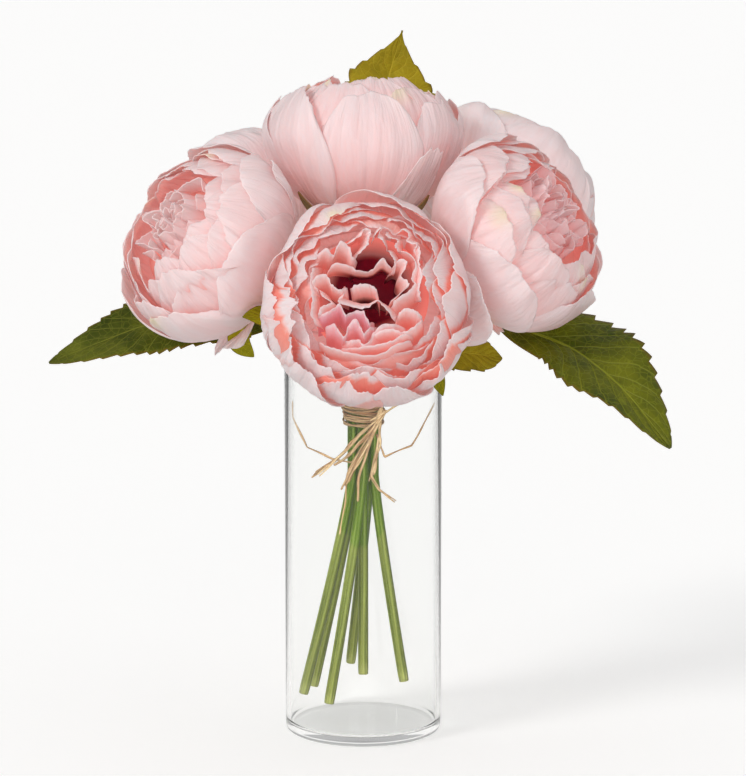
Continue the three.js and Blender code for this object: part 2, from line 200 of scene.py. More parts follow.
def addWorld():
    # brighter overhead than at the horizon; what is seen past the floor's far edge matches the floor
    world = bpy.data.worlds.new("studio")
    bpy.context.scene.world = world
    world.use_nodes = True
    nodes = world.node_tree.nodes
    links = world.node_tree.links
    nodes.clear()
    output = nodes.new("ShaderNodeOutputWorld")
    background = nodes.new("ShaderNodeBackground")
    coordinates = nodes.new("ShaderNodeTexCoord")
    split = nodes.new("ShaderNodeSeparateXYZ")
    ramp = nodes.new("ShaderNodeValToRGB")
    path = nodes.new("ShaderNodeLightPath")
    choose = nodes.new("ShaderNodeMix")
    choose.data_type = "RGBA"
    side = lightSettings["worldSide"]
    top = lightSettings["worldTop"]
    ramp.color_ramp.elements[0].color = (side, side, side, 1)
    ramp.color_ramp.elements[1].color = (top, top, top, 1)
    ramp.color_ramp.elements[1].position = lightSettings["topFrom"]
    links.new(coordinates.outputs["Generated"], split.inputs[0])
    links.new(split.outputs["Z"], ramp.inputs[0])
    links.new(path.outputs["Is Camera Ray"], choose.inputs["Factor"])
    links.new(ramp.outputs[0], choose.inputs["A"])
    choose.inputs["B"].default_value = (*lightSettings["seen"], 1)
    links.new(choose.outputs["Result"], background.inputs["Color"])
    links.new(background.outputs[0], output.inputs["Surface"])


def addSuns():
    for name, power, angle, place, shadows in lightSettings["suns"]:
        data = bpy.data.lights.new(name, "SUN")
        data.use_shadow = shadows
        data.energy = power
        data.angle = angle * degree
        data.color = lightSettings["sunColour"]
        sun = bpy.data.objects.new(name, data)
        sun.rotation_euler = Vector(place).to_track_quat("Z", "Y").to_euler()
        bpy.context.scene.collection.objects.link(sun)


def addFloor():
    # a wide flat sheet of matt paper that gives back a little less light than it shows
    half = lightSettings["floorSize"] / 2
    mesh = bpy.data.meshes.new("floor")
    corners = [(-half, -half, 0), (half, -half, 0), (half, half, 0), (-half, half, 0)]
    mesh.from_pydata(corners, [], [(0, 1, 2, 3)])
    n = Nodes("floorPaper")
    n.surface((*lightSettings["floorColour"], 1), 0.9, Specular_IOR_Level=0.1,
              Emission_Color=(1, 1, 1, 1), Emission_Strength=lightSettings["floorGlow"])
    n.instead("Is Diffuse Ray", "BsdfDiffuse", (*lightSettings["floorBounce"], 1))
    mesh.materials.append(n.material)
    floor = bpy.data.objects.new("floor", mesh)
    floor.location = (0, 0, -lightSettings["floorDrop"])
    bpy.context.scene.collection.objects.link(floor)


addCamera()
addWorld()
addSuns()
addFloor()
bpy.context.scene.view_settings.view_transform = "Standard"
print("camera, floor and light")


# surfaces as arrays

def unit(vectors):
    size = np.linalg.norm(vectors, axis=-1, keepdims=True)
    return vectors / np.maximum(size, 1e-9)


def mix(first, second, amount):
    return first + (second - first) * amount


def slope(values, start, width):
    # 0 up to start, then evenly up to 1
    return np.clip((values - start) / width, 0, 1)


def ripple(values, random, count, low, high):
    # a sum of sines with random pitch and phase, about -1 to 1
    total = np.zeros_like(values)
    for k in range(count):
        total = total + np.sin(values * random.uniform(low, high) + random.uniform(0, 2 * math.pi)) / count
    return total * 1.5


def zigzag(values):
    # a folded line between -1 and 1 that turns at whole numbers
    return 2 * np.abs((values % 2) - 1) - 1


def crowded(count, power):
    # places from 0 to 1 that lie closer together towards 1: one minus a power of the way that is left
    return 1 - (1 - np.linspace(0, 1, count)) ** power


def sheetGrid(places, columns):
    # how far along, as given, and how far across, from -1 to 1, each point of a sheet lies
    return np.meshgrid(places, np.linspace(-1, 1, columns), indexing="ij")


def gridFaces(rows, columns, start=0, closed=False):
    # four-cornered faces of a grid of points, row by row; closed joins the last column to the first
    width = columns if closed else columns - 1
    i, j = np.meshgrid(np.arange(rows - 1), np.arange(width), indexing="ij")
    right = (j + 1) % columns
    above = i + 1
    corners = [i * columns + j, i * columns + right, above * columns + right, above * columns + j]
    return np.stack(corners, -1).reshape(-1, 4) + start


def sheetArrays(middle, thickness, outer, inner=None):
    # A thin sheet with two faces and a rim, from the grid of its middle. Each face lies half the thickness
    # away along the grid's normal. outer and inner are grids of the four numbers that each face carries, and
    # both faces carry the same ones where inner is left out.
    rows, columns = middle.shape[:2]
    lengthwise = np.gradient(middle, axis=0)
    crosswise = np.gradient(middle, axis=1)
    normal = unit(np.cross(crosswise, lengthwise))
    half = normal * (np.zeros((rows, columns)) + thickness / 2)[..., None]
    points = np.concatenate([(middle + half).reshape(-1, 3), (middle - half).reshape(-1, 3)])
    across, along = np.meshgrid(np.linspace(0, 1, columns), np.linspace(0, 1, rows))
    uv = np.stack([across, along], -1).reshape(-1, 2)
    uv = np.concatenate([uv, uv])
    count = rows * columns
    front = gridFaces(rows, columns)
    back = gridFaces(rows, columns, count)[:, ::-1]
    index = np.arange(count).reshape(rows, columns)
    edge = np.concatenate([index[0, :], index[1:, -1], index[-1, -2::-1], index[-2:0:-1, 0]])
    following = np.roll(edge, -1)
    rim = np.stack([following, edge, edge + count, following + count], -1)
    faces = np.concatenate([front, back, rim])
    both = (outer, outer if inner is None else inner)
    return points, faces, uv, np.concatenate([data.reshape(-1, 4) for data in both])


def joinArrays(parts):
    # several sheets as one set of arrays
    starts = np.cumsum([0] + [len(part[0]) for part in parts[:-1]])
    points = np.concatenate([part[0] for part in parts])
    faces = np.concatenate([part[1] + start for part, start in zip(parts, starts)])
    uv = np.concatenate([part[2] for part in parts])
    data = np.concatenate([part[3] for part in parts])
    return points, faces, uv, data


def makePiece(name, arrays, material, replaced, weld=False):
    # a mesh object from arrays of points in millimetres, four-cornered faces, uv and data by point; weld
    # joins points that share a place, which closes poles and the ends of strands
    points, faces, uv, data = arrays
    mesh = bpy.data.meshes.new(name)
    mesh.vertices.add(len(points))
    mesh.vertices.foreach_set("co", (points * mm).astype(np.float32).ravel())
    mesh.loops.add(faces.size)
    mesh.loops.foreach_set("vertex_index", faces.astype(np.int32).ravel())
    mesh.polygons.add(len(faces))
    mesh.polygons.foreach_set("loop_start", np.arange(0, faces.size, 4, dtype=np.int32))
    mesh.update(calc_edges=True)
    layer = mesh.uv_layers.new(name="across_along")
    layer.data.foreach_set("uv", uv[faces.ravel()].astype(np.float32).ravel())
    colours = mesh.attributes.new("data", "FLOAT_COLOR", "POINT")
    colours.data.foreach_set("color", data.astype(np.float32).ravel())
    mesh.polygons.foreach_set("use_smooth", np.ones(len(faces), dtype=bool))
    if weld:
        work = bmesh.new()
        work.from_mesh(mesh)
        bmesh.ops.remove_doubles(work, verts=work.verts, dist=1e-7)
        work.to_mesh(mesh)
        work.free()
    mesh.validate()
    mesh.materials.append(material)
    piece = bpy.data.objects.new(name, mesh)
    bpy.context.scene.collection.objects.link(piece)
    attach(piece, "root")
    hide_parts(*replaced)


def smoothPath(points, places):
    # a smooth curve through points, read at places from 0 to 1: between two points it is the cubic whose
    # slope at each of them is half the way from the point before to the point after
    points = np.asarray(points, dtype=float)
    ends = np.concatenate([[2 * points[0] - points[1]], points, [2 * points[-1] - points[-2]]])
    place = np.clip(places, 0, 1) * (len(points) - 1)
    part = np.minimum(place.astype(int), len(points) - 2)
    t = (place - part)[..., None]
    before, first, second, after = (ends[part + k] for k in range(4))
    slopeIn = (second - before) / 2
    slopeOut = (after - first) / 2
    return ((2 * t ** 3 - 3 * t ** 2 + 1) * first + (t ** 3 - 2 * t ** 2 + t) * slopeIn
            + (3 * t ** 2 - 2 * t ** 3) * second + (t ** 3 - t ** 2) * slopeOut)


# the petals' cloth

petalColours = {
    "blush": [
        # from the pale outside of a petal to the depth between petals
        (0.0, (240, 224, 225)), (0.15, (240, 211, 211)), (0.35, (241, 191, 188)),
        (0.6, (242, 161, 152)), (0.8, (240, 134, 120)), (1.0, (236, 104, 90)),
    ],
    "cream": (246, 230, 184),
    "magenta": (214, 100, 150),
    # painted shade: dark maroon for the hollow of a deep heart and the feet of its ruffles
    "paintedHollowShade": (52, 8, 26),
    # painted glow: the colour of the light that the cloth gives off
    "paintedGlow": (1.0, 0.42, 0.37, 1),
}
clothSettings = {
    # noise along a petal: scales across, along and from petal to petal, detail, roughness and distortion
    "streaks": ((11.0, 1.6, 40.0), 3.0, 0.55, 0.6),
    "lines": ((48.0, 5.0, 70.0), 2.0, 0.5, 0.3),
    "pleats": ((15.0, 2.4, 70.0), 2.0, 0.45, 0.4),
    # scales of what goes over the whole bloom
    "clouds": 60.0,
    "facets": 62.0,
    "weave": 2600.0,
    "relief": 0.0012,  # metres
    "cupBump": 0.7,
    "ruffleBump": 0.12,
    # how strongly the cups, the ruffles of a deep heart and those of a full one give off a painted glow that
    # stands in for light shining through them
    "cupPaintedGlow": 0.1,
    "deepPaintedGlow": 0.15,
    "fullPaintedGlow": 0.07,
}


def petalCloth(name, ruffled, shine):
    # Satin cloth. Its data says how deep the blush is, then a number of the petal's own, then how cream (or
    # in the heart how magenta) it is, then how much painted maroon shade it has. Streaks, clouds and lines
    # shift the blush, each by some share of how far its noise is from one half. Pleats, lines, facets and
    # weave make up the bump. shine is the strength of a painted glow that the cloth gives off.
    n = Nodes(name)
    settings = clothSettings
    place = n.place()
    blush, _, patch, deep = n.data()
    streaks = n.lengthwise(*settings["streaks"])
    lines = n.lengthwise(*settings["lines"])
    clouds = n.noise(place, settings["clouds"], 2.0)
    shares = [(streaks, 0.2), (clouds, 0.12), (lines, 0.06)]
    shift = n.total(*[(n.math("SUBTRACT", noise, 0.5), amount) for noise, amount in shares])
    stops = [(at, linear(*colour)) for at, colour in petalColours["blush"]]
    colour = n.ramp(n.math("ADD", blush, shift, True), stops)
    if ruffled:
        amount = n.math("MULTIPLY", patch, n.math("ADD", 0.35, n.math("MULTIPLY", blush, 0.6)))
        colour = n.blend(amount, colour, linear(*petalColours["magenta"]))
    else:
        amount = n.math("MULTIPLY", patch, n.ramp(clouds, [(0.35, 0.3), (0.6, 0.85)]), True)
        colour = n.blend(amount, colour, linear(*petalColours["cream"]))
    # painted shade: maroon where the data's last number says so, in a deep heart's hollow
    colour = n.blend(deep, colour, linear(*petalColours["paintedHollowShade"]))
    facets = n.add("TexVoronoi", {"Scale": settings["facets"], "Vector": place}).outputs["Distance"]
    pleats = n.lengthwise(*settings["pleats"])
    weave = n.noise(place, settings["weave"], 1.0)
    height = n.total((pleats, 1.2), (lines, 0.22), (facets, 0.7), (weave, 0.08))
    n.bump(height, settings["relief"], settings["ruffleBump" if ruffled else "cupBump"])
    # painted glow: the cloth gives off a warm light where the blush is deep, standing in for light that
    # shines through the thin cloth
    paintedGlow = n.math("MULTIPLY", n.ramp(blush, [(0.14, 0.2), (0.36, 0.6), (1.0, 1.0)]),
                  n.math("SUBTRACT", 1.0, deep, True))
    n.put(n.shader.inputs["Emission Color"], n.blend(paintedGlow, (0, 0, 0, 1), petalColours["paintedGlow"]))
    return n.surface(colour, 0.45, Specular_IOR_Level=0.4, Subsurface_Weight=0.4,
                     Subsurface_Radius=(0.008, 0.0035, 0.003), Subsurface_Scale=1.0,
                     Emission_Strength=shine)


# blooms

ball = {"radius": 52, "depth": 38}  # a bloom is a squat ball, deeper below its widest circle
pressing = {"softZone": 12, "gap": 1.3, "near": 8}  # how blooms that meet press flat

usualBloom = {
    # what a bloom has unless its own line says otherwise
    "deep": False,  # a hollow darkened with painted maroon shade, with long ruffles, instead of a full heart of small lobes
    "heart": (0, 0),  # how far right and up the middle of the heart lies
    "mouth": None,  # the outline round the heart, as directions in degrees and radii
    "more": 0,  # petals added to each layer
    "narrow": 1,  # times the petals' widths
    "ragged": 1,  # times their scallops and fraying
    "folds": 1,  # times their folds
    "spread": 6,  # degrees by which their tips differ
    "inner": 0.6,  # blush of their inner faces
    "fade": 0,  # how much less of it the outermost layer has
    "paler": 0,  # how much paler the petals are
    "plain": 0.82,  # the share of them without a cream patch
    "paintedSeamShade": 0.85,  # painted shade: deeper blush where one petal goes under another
    "seamFrom": 1.5,  # degrees by which it passes the edge of the petal outside
    "blur": 6,  # degrees within which it fades
    "heartBlush": 0.85,  # times the blush of the heart's lobes
    "mauve": 0,  # how magenta the lobes are
    "sunk": 0,  # how much lower they stand
    "sepals": (),  # where long sepals lie, in degrees
}
flowers = {
    # centre, the way it faces, up on its face, height of its crown, place of its stem in the tie in degrees
    # (none in the middle), lower end of the stem, turn of its petals, seed, degrees by which its layers are
    # more open, and what is unlike usualBloom
    "front": {
        "centre": (3, -75, 241), "axis": (0.02, -0.95, 0.31), "up": (0, 0, 1), "crown": 40,
        "ring": -90, "end": (-18, -15, 17), "turn": 0, "seed": 5, "open": 0,
        "more": 1, "narrow": 0.84, "ragged": 1.5, "folds": 0.5,
        "inner": 0.85, "fade": 0.42, "paler": 0.6, "plain": 0.93, "paintedSeamShade": 1.35, "seamFrom": -1, "blur": 3.5,
        "deep": True, "heart": (1, 6),
        "mouth": [(-180, 31), (-132, 38), (-99, 37), (-70, 39), (-52, 38), (-14, 28), (20, 28.5), (47, 38),
                  (68, 36.5), (100, 33.5), (128, 30), (155, 34.5), (180, 31)],
        "loose": (-182, -74),  # directions between which petals lie close round the mouth
    },
    "left": {
        "centre": (-79, -30, 264), "axis": (-0.72, -0.5, 0.48), "up": (0, 0, 1), "crown": 42,
        "ring": 198, "end": (-32, -2, 19), "turn": 31, "seed": 11, "open": 4,
        "more": 1, "narrow": 0.9, "inner": 0.42, "paintedSeamShade": 0.3, "seamFrom": -4, "heartBlush": 0.66,
    },
    "right": {
        "centre": (79, -30, 268), "axis": (0.76, -0.42, 0.49), "up": (0, 0, 1), "crown": 40,
        "ring": -18, "end": (21.7, -5, 26.5), "turn": 11, "seed": 23, "open": 4,
        "more": 1, "narrow": 0.9, "inner": 0.58, "paintedSeamShade": 0.4, "seamFrom": -3, "mauve": 0.2,
    },
    "top": {
        "centre": (0, 5, 312), "axis": (0.02, 0.1, 0.995), "up": (0, 1, 0), "crown": 43,
        "ring": None, "end": (0, -8, 31), "turn": 47, "seed": 31, "open": -4,
        "more": 2, "narrow": 0.86, "spread": 7, "paintedSeamShade": 0.4, "seamFrom": -3, "sunk": 8,
        "sepals": (-151, -22, 60, 118),
    },
    "back_left": {
        "centre": (-65, 62, 270), "axis": (-0.62, 0.62, 0.48), "up": (0, 0, 1), "crown": 42,
        "ring": 126, "end": (-27, 10, 20), "turn": 27, "seed": 43, "open": 4,
        "paler": 0.9, "paintedSeamShade": 0.5,
    },
    "back_right": {
        "centre": (76, 62, 283), "axis": (0.45, 0.62, 0.64), "up": (0, 0, 1), "crown": 40,
        "ring": 54, "end": (-7, 22, 29.5), "turn": 61, "seed": 59, "open": 4,
        "paler": 0.9, "paintedSeamShade": 0.5,
    },
}

petalLayers = [
    # from the outside in: count, size of the ball, root, tip and half width in degrees, place of the first,
    # and how far its tips stay outside the outline of a mouth
    {"count": 5, "size": 1.0, "root": -82, "tip": 32, "half": 47, "start": 18, "rim": 13},
    {"count": 5, "size": 0.94, "root": -70, "tip": 39, "half": 46, "start": 52, "rim": 9},
    {"count": 6, "size": 0.88, "root": -40, "tip": 45, "half": 41, "start": 14, "rim": 5.5},
    {"count": 6, "size": 0.82, "root": -30, "tip": 50, "half": 38, "start": 44, "rim": 2.5},
    {"count": 6, "size": 0.765, "root": -20, "tip": 53, "half": 36, "start": 8, "rim": -1},
]
petalSettings = {
    # heights of the relief are in millimetres, and those of the free edge are shares of a petal's length
    "rows": 28,
    "columns": 38,
    "crowd": 1.35,  # power by which its rows lie closer towards its free edge
    "thick": 0.45,
    "slant": 1.5,  # how far one side lies outside its layer and the other inside
    "bulge": 1.4,
    "wave": 1.3,
    "broad": 0.9,
    "pleat": 0.3,
    "fold": 0.34,
    "crease": 1.1,
    "crumple": 1.0,
    "room": 1.6,  # how far a petal strays from its layer
    "scallop": 0.024,
    "fray": 0.006,
    "notch": 0.022,
}
usualPetal = {
    # what a petal has unless its own line says otherwise
    "waves": 1,  # times its waves, creases and crumples
    "ragged": 1,  # times its scallops and fraying
    "opening": 0,  # how far its free edge stands out of its layer, as a share of the ball
    "cream": 0,
    "creamAt": 0,  # how far across the cream patch lies
    "pale": 0,
    "fade": 0,  # how much less its inner face blushes
    "paintedSeamShade": 1,  # times the painted shade of blush at its seam
    "beyond": 0,  # degrees more by which that shows
    "flush": 0,  # the least blush of its outer face
}
heartRibbons = [
    # a deep heart's long ruffles round its hollow: points along the free edge as right, up and outward, how
    # far the foot lies beside it, and what is unlike ribbonSettings
    {"edge": [(-26, 17, 19), (-21, 20, 22), (-17.5, 17, 19), (-14.4, 23, 23), (-10, 21, 21),
              (-8.5, 17, 20), (-6, 14.5, 18)], "beside": (-2, -6)},
    {"edge": [(-20, 10, 20), (-16.5, 12.5, 22), (-10, 11.5, 20), (-6, 9.5, 19), (-1, 9, 17),
              (2, 10.5, 18), (6.5, 15, 21), (9.5, 12, 19), (12.5, 9.5, 17)],
     "beside": (-0.5, -2.6), "foot": 9},
    {"edge": [(-24, -1.5, 20), (-27.8, 2.5, 22), (-26, 5.5, 23), (-21.5, 7, 22), (-19.5, 3.5, 21),
              (-18, 1, 22), (-14, -0.5, 21), (-11, 1.5, 19)], "beside": (1, -5)},
    {"edge": [(-11.5, 1.5, 18), (-12.5, -3.5, 20), (-15.5, -6.5, 22), (-12, -8.5, 21), (-7.5, -9.5, 20),
              (-3.3, -10.2, 21), (0.5, -9, 20), (3.5, -6.5, 21), (6.5, -9, 22), (9, -12, 22),
              (12.6, -15.8, 21)], "beside": (1, 4.5)},
    {"edge": [(-9.5, 1.2, 17), (-5, 2.5, 19), (0, 2.2, 19), (3.2, 0, 19), (3.2, -2.5, 18)],
     "beside": (2, -6)},
    {"edge": [(9.2, 20, 18), (10.5, 17, 20), (12.3, 13.5, 20), (12, 10.5, 18)], "beside": (4, 1)},
    {"edge": [(12.5, 9, 18), (13.5, 12.5, 20), (15.5, 14.5, 22), (18.5, 13, 22), (17.5, 9.5, 21),
              (15.5, 6, 20), (18.5, 3.5, 22), (19.5, 1, 22), (16, -1.5, 20), (11, -5, 19)],
     "beside": (-4, -3)},
    {"edge": [(14, 19.5, 19), (19, 17.5, 22), (22.5, 12, 23), (20.5, 5, 21), (22, 2, 22),
              (18.5, -2, 21), (13.5, -5, 21), (10.5, -8.5, 19)], "beside": (4, -4)},
    {"edge": [(8, 29, 20), (9, 25, 23), (13.8, 23.8, 22), (12.5, 21, 21), (15, 18.5, 19)],
     "beside": (4, 1)},
    {"edge": [(13, 27, 21), (16.3, 28.7, 23), (19.4, 26.5, 22), (18.5, 23, 21), (23, 21.5, 22),
              (22, 18, 21), (24.5, 14, 20)], "beside": (3, 3)},
    {"edge": [(-11, 23, 19), (-8.5, 23, 22), (-3.5, 27, 22), (-1.5, 29.3, 24), (1, 27.8, 23),
              (0, 24.5, 21), (-1, 21, 21), (-4.5, 18, 20), (-7.5, 15.5, 18)], "beside": (-5, -1)},
    {"edge": [(1.5, 24, 19), (3, 26.5, 23), (6, 29, 23), (4.5, 25.5, 21), (7, 23, 22), (9, 20, 18)],
     "beside": (1, 5)},
    {"edge": [(-25, 1, 18), (-23, -4, 21), (-19, -7, 20), (-24, -9.5, 21), (-25.5, -14, 19)],
     "beside": (6, -2)},
    {"edge": [(-25.5, -12.5, 19), (-21, -12, 22), (-17, -9.5, 20), (-14.5, -7.5, 21), (-12, -13.5, 23),
              (-8, -11.5, 20), (-3, -11.5, 21), (-0.5, -17, 22), (2, -16, 19)],
     "beside": (0, -6), "magenta": 0.8},
    {"edge": [(-21.5, -18, 19), (-17.5, -18, 22), (-15, -21, 21), (-12.5, -24.5, 23), (-10.5, -19, 21),
              (-7, -15.5, 23), (-4.5, -19.5, 21), (-2.7, -23, 23), (0, -19.5, 21), (3, -18.5, 20)],
     "beside": (0, -6), "magenta": 0.5},
    {"edge": [(-14.5, -25, 19), (-10, -26, 21), (-5.8, -25.2, 20), (-3.5, -28, 22), (0, -26, 20),
              (2, -22, 20), (5.5, -18.5, 22), (10.5, -18, 22), (17.5, -18.5, 19)],
     "beside": (2, -6), "magenta": 0.1},
    {"edge": [(13.5, -13, 19), (17.5, -10.3, 22), (22.5, -11.5, 22), (26, -14, 19)], "beside": (-1, -6)},
    {"edge": [(-1, -25, 19), (5, -21.5, 22), (11.5, -20.5, 22), (16, -22, 21), (22, -19, 22),
              (26, -14.5, 20)], "beside": (1, -4.5)},
    {"edge": [(-14, -29, 18), (-6, -29.5, 21), (3, -28.3, 22), (10.5, -26.5, 22), (15.5, -23.5, 22),
              (21, -21.5, 20)], "beside": (1, -3.5)},
    {"edge": [(-25, -25.5, 18), (-20, -29, 21), (-15.5, -30.5, 21), (-10.5, -32, 22), (-2, -33.5, 21),
              (7, -32, 22), (13, -28, 22), (20, -25, 20)], "beside": (1, -3)},
    {"edge": [(-27, 12, 18), (-28.5, 8, 21), (-29, 1, 21), (-28, -6, 22), (-29, -12, 20),
              (-26, -18, 19)], "beside": (5, 0)},
    {"edge": [(22, 25, 18), (25, 19, 22), (24.5, 12, 22), (26, 6, 23), (24.5, 0, 22), (25.5, -6, 20)],
     "beside": (-4, 1)},
]
ribbonSettings = {
    "rows": 20,
    "columns": 9,  # for each point along its edge
    "crowd": 1.4,
    "thick": 0.35,
    "foot": -6,  # how far outward the foot lies
    "arch": -1.5,  # how far outward of the free edge its bend lies
    "raised": 3,  # how far the whole free edge is moved outward
    "magenta": 0,
}
fullRings = [
    # a full heart's rings of small lobes: distance from the bloom's axis, count, half width, height of the
    # free edge, lean in degrees, how much lower the sides are, and how much further in
    {"radius": 3, "count": 3, "half": 5.5, "high": 27, "lean": (-30, 0), "round": 3, "cup": 1.6},
    {"radius": 8, "count": 5, "half": 6.5, "high": 28, "lean": (-40, 5), "round": 3.5, "cup": 1.8},
    {"radius": 13, "count": 7, "half": 7.5, "high": 27, "lean": (-45, 5), "round": 4, "cup": 2},
    {"radius": 18, "count": 9, "half": 8, "high": 26, "lean": (-45, 5), "round": 4, "cup": 2},
    {"radius": 23, "count": 11, "half": 8.5, "high": 24, "lean": (-40, 5), "round": 4, "cup": 2},
]
ruffleSettings = {
    "rows": 22,
    "columns": 26,
    "crowd": 1.5,
    "thick": 0.35,
    "crown": 40,  # the height of crown that the rings are given for
    "turn": 37,  # degrees from one ring to the next
    "root": -15,
    "lip": 2,  # length past the height of the free edge, for the part that leans over
    "foldFrom": 0.58,  # how far up that part starts
    "fold": (4, 12),  # degrees by which its waves lean, from least to most
    "pitch": (2.5, 4),  # how close its waves are
    "swing": (0.3, 0.8),  # how far they go in and out
}
coreSettings = {
    "rows": 14,
    "columns": 48,
    "radius": 30,
    "bowl": 17,  # radius at which it is level
    "thick": 0.5,
    "deep": (-14, 3),  # heights of a deep heart's middle and edge
    "full": (8, 14),
}

for flower in flowers.values():
    # its unusual values stay, and its own right (x), up (y) and outward (z) directions are added
    for key, usual in usualBloom.items():
        flower.setdefault(key, usual)
    flower["centre"] = np.array(flower["centre"], dtype=float)
    flower["z"] = unit(np.array(flower["axis"], dtype=float))
    flower["x"] = unit(np.cross(flower["up"], flower["z"]))
    flower["y"] = np.cross(flower["z"], flower["x"])


def fromBloom(flower, x, y, z):
    # points from a bloom's own right, up and outward distances
    steps = [np.asarray(far)[..., None] * flower[axis] for far, axis in ((x, "x"), (y, "y"), (z, "z"))]
    return flower["centre"] + steps[0] + steps[1] + steps[2]


def reachOf(flower, direction):
    # how far a bloom's ball reaches from its centre in a direction
    along = float(np.dot(direction, flower["z"]))
    return math.sqrt(ball["radius"] ** 2 * (1 - along ** 2) + ball["depth"] ** 2 * along ** 2)


def wallsOf(flower):
    # a plane between this bloom and each one that it would meet
    walls = []
    for other in flowers.values():
        away = other["centre"] - flower["centre"]
        distance = float(np.linalg.norm(away))
        if distance == 0:
            continue
        normal = away / distance
        mine = reachOf(flower, normal)
        theirs = reachOf(other, normal)
        if mine + theirs + pressing["near"] < distance:
            continue
        offset = distance * mine / (mine + theirs) - pressing["gap"] / 2
        walls.append((flower["centre"] + normal * offset, normal))
    return walls


for flower in flowers.values():
    flower["walls"] = wallsOf(flower)


def pressed(flower, points):
    # points near a wall or past it are drawn back to their own side, the further the more
    zone = pressing["softZone"]
    for place, normal in flower["walls"]:
        past = (points - place) @ normal
        kept = -zone * np.exp(-(past + zone) / zone)
        points = points + np.where(past > -zone, kept - past, 0)[..., None] * normal
    return points


def roundBloom(flower, radius, around, height):
    # points of a bloom from their distance to its axis, the angle round it and the height along it
    return pressed(flower, fromBloom(flower, radius * np.cos(around), radius * np.sin(around), height))


def petalEdge(a, random, ragged):
    # how much of its length a petal has: less towards its sides by the 2.5th power of the way across, and
    # less by scallops, by fraying and by one notch that falls off as a bell curve
    line = a[0]
    scallop = np.abs(ripple(line, random, 3, 2.5, 8)) * petalSettings["scallop"] * ragged
    fray = ripple(line, random, 4, 25, 60) * petalSettings["fray"] * ragged
    deepest = random.uniform(0, petalSettings["notch"])
    notch = deepest * np.exp(-((line - random.uniform(-0.3, 0.3)) / 0.16) ** 2)
    return 1 - 0.24 * np.abs(a) ** 2.5 - (scallop + fray + notch)[None, :]


def petalTip(flower, spec, line):
    # Degrees up the ball at which a petal ends: as given or, round a mouth, the arc cosine of the mouth's
    # radius and the petal's rim as a share of the ball's. Where the petals are loose, rim counts less.
    if "rim" not in spec:
        return spec["tip"]
    direction = (spec["place"] + line * spec["half"] * 0.8 + 180) % 360 - 180
    reached = np.interp(direction, *zip(*flower["mouth"]))
    first, last = flower["loose"]
    inLoose = np.clip(2.6 - np.abs(direction - (first + last) / 2) / (last - first) * 4, 0, 1)
    level = (reached + spec["rim"] * (1 - 0.7 * inLoose)) / (ball["radius"] * spec["size"])
    return np.arccos(np.clip(level, 0, 0.93)) / degree + spec["tip"]


def petalRelief(flower, spec, random, s, a):
    # How far a petal lies outside its layer, s of the way up and a across: a slant, a bulge as one minus the
    # square of a, and waves, creases and crumples that grow with s, held within room by a tanh curve.
    # Fine pleats, and folds as the absolute value of a sine, come on top.
    settings = petalSettings
    belly = np.sin(math.pi * s)
    phase = spec["place"]
    bulge = settings["bulge"] * (1 - a ** 2) * belly
    wave = settings["wave"] * spec["waves"] * s ** 3 * ripple(a, random, 2, 2.5, 5.5)
    broad = settings["broad"] * s * ripple(a + 0.6 * s, random, 2, 2, 4)
    pleat = settings["pleat"] * belly * (0.4 + s) * ripple(a * (1 + 0.3 * s), random, 3, 9, 26)
    folds = 2 * np.abs(np.sin(8 * a + 0.7 * np.sin(3 * a + phase) + phase)) - 1
    pleat = pleat + settings["fold"] * flower["folds"] * folds * belly * (1.25 - s)
    crease = settings["crease"] * spec["waves"] * s ** 4 * (
        zigzag(a * random.uniform(1.2, 2.2) + random.uniform(0, 2) + 0.3 * s)
        + 0.5 * zigzag(a * random.uniform(3, 5) + random.uniform(0, 2) - 0.5 * s))
    crumple = np.zeros_like(s)
    for k in range(3):
        lean = random.uniform(-1.1, 1.1)
        along = a * math.cos(lean) + 2.2 * s * math.sin(lean)
        crumple = crumple + zigzag(random.uniform(1.6, 3.2) * along + random.uniform(0, 2)) / 3
    crumple = settings["crumple"] * spec["waves"] * crumple * np.clip(s * 2 - 0.5, 0, 1)
    offset = settings["slant"] * a + bulge + wave + broad + crease + crumple
    room = settings["room"] * (1 + 1.2 * slope(s, 0.8, 0.2) + 4 * spec["opening"])
    return room * np.tanh(offset / room) + pleat


def petalCover(flower, spec, rise, around):
    # how far a petal lies under the ones outside it, 0 to 1, from its two angles in degrees; how high it
    # stands itself goes into reach
    over = np.interp(around, coverPlaces, spec["cover"], period=360)
    covered = np.clip((over + flower["seamFrom"] + spec["beyond"] - rise) / flower["blur"], 0, 1)
    np.maximum.at(spec["reach"], (around / 2).astype(int) % len(coverPlaces), rise)
    return covered


def petalData(flower, spec, random, s, a, covered):
    # What the outer and the inner face carry: blush, a number of the petal's own, cream, and no painted
    # maroon shade. The outer face blushes towards its base, and has painted shade of deeper blush where it
    # is covered; the inner one blushes less towards its free edge.
    own = np.full_like(s, random.uniform())
    cream = spec["cream"] * slope(s, 0.84, 0.125) * np.exp(-((a - spec["creamAt"]) / 0.26) ** 2)
    # painted shade: deeper blush where the petal lies under the ones outside it
    outside = np.maximum(0.5 * (1 - s) ** 1.3, flower["paintedSeamShade"] * spec["paintedSeamShade"] * covered) + 0.13
    outside = outside * (1 - 0.7 * spec["pale"])
    outside = np.maximum(outside, spec["flush"] * (1 - 0.7 * slope(s, 0.86, 0.14)))
    inside = flower["inner"] * (1 - spec["fade"])
    inside = inside * (1 - 0.3 * slope(s, 0.7, 0.25) - 0.42 * slope(s, 0.93, 0.035))
    inside = inside * (1 - 0.9 * spec["pale"])
    return [np.stack([blush, own, cream, np.zeros_like(s)], -1) for blush in (outside, inside)]


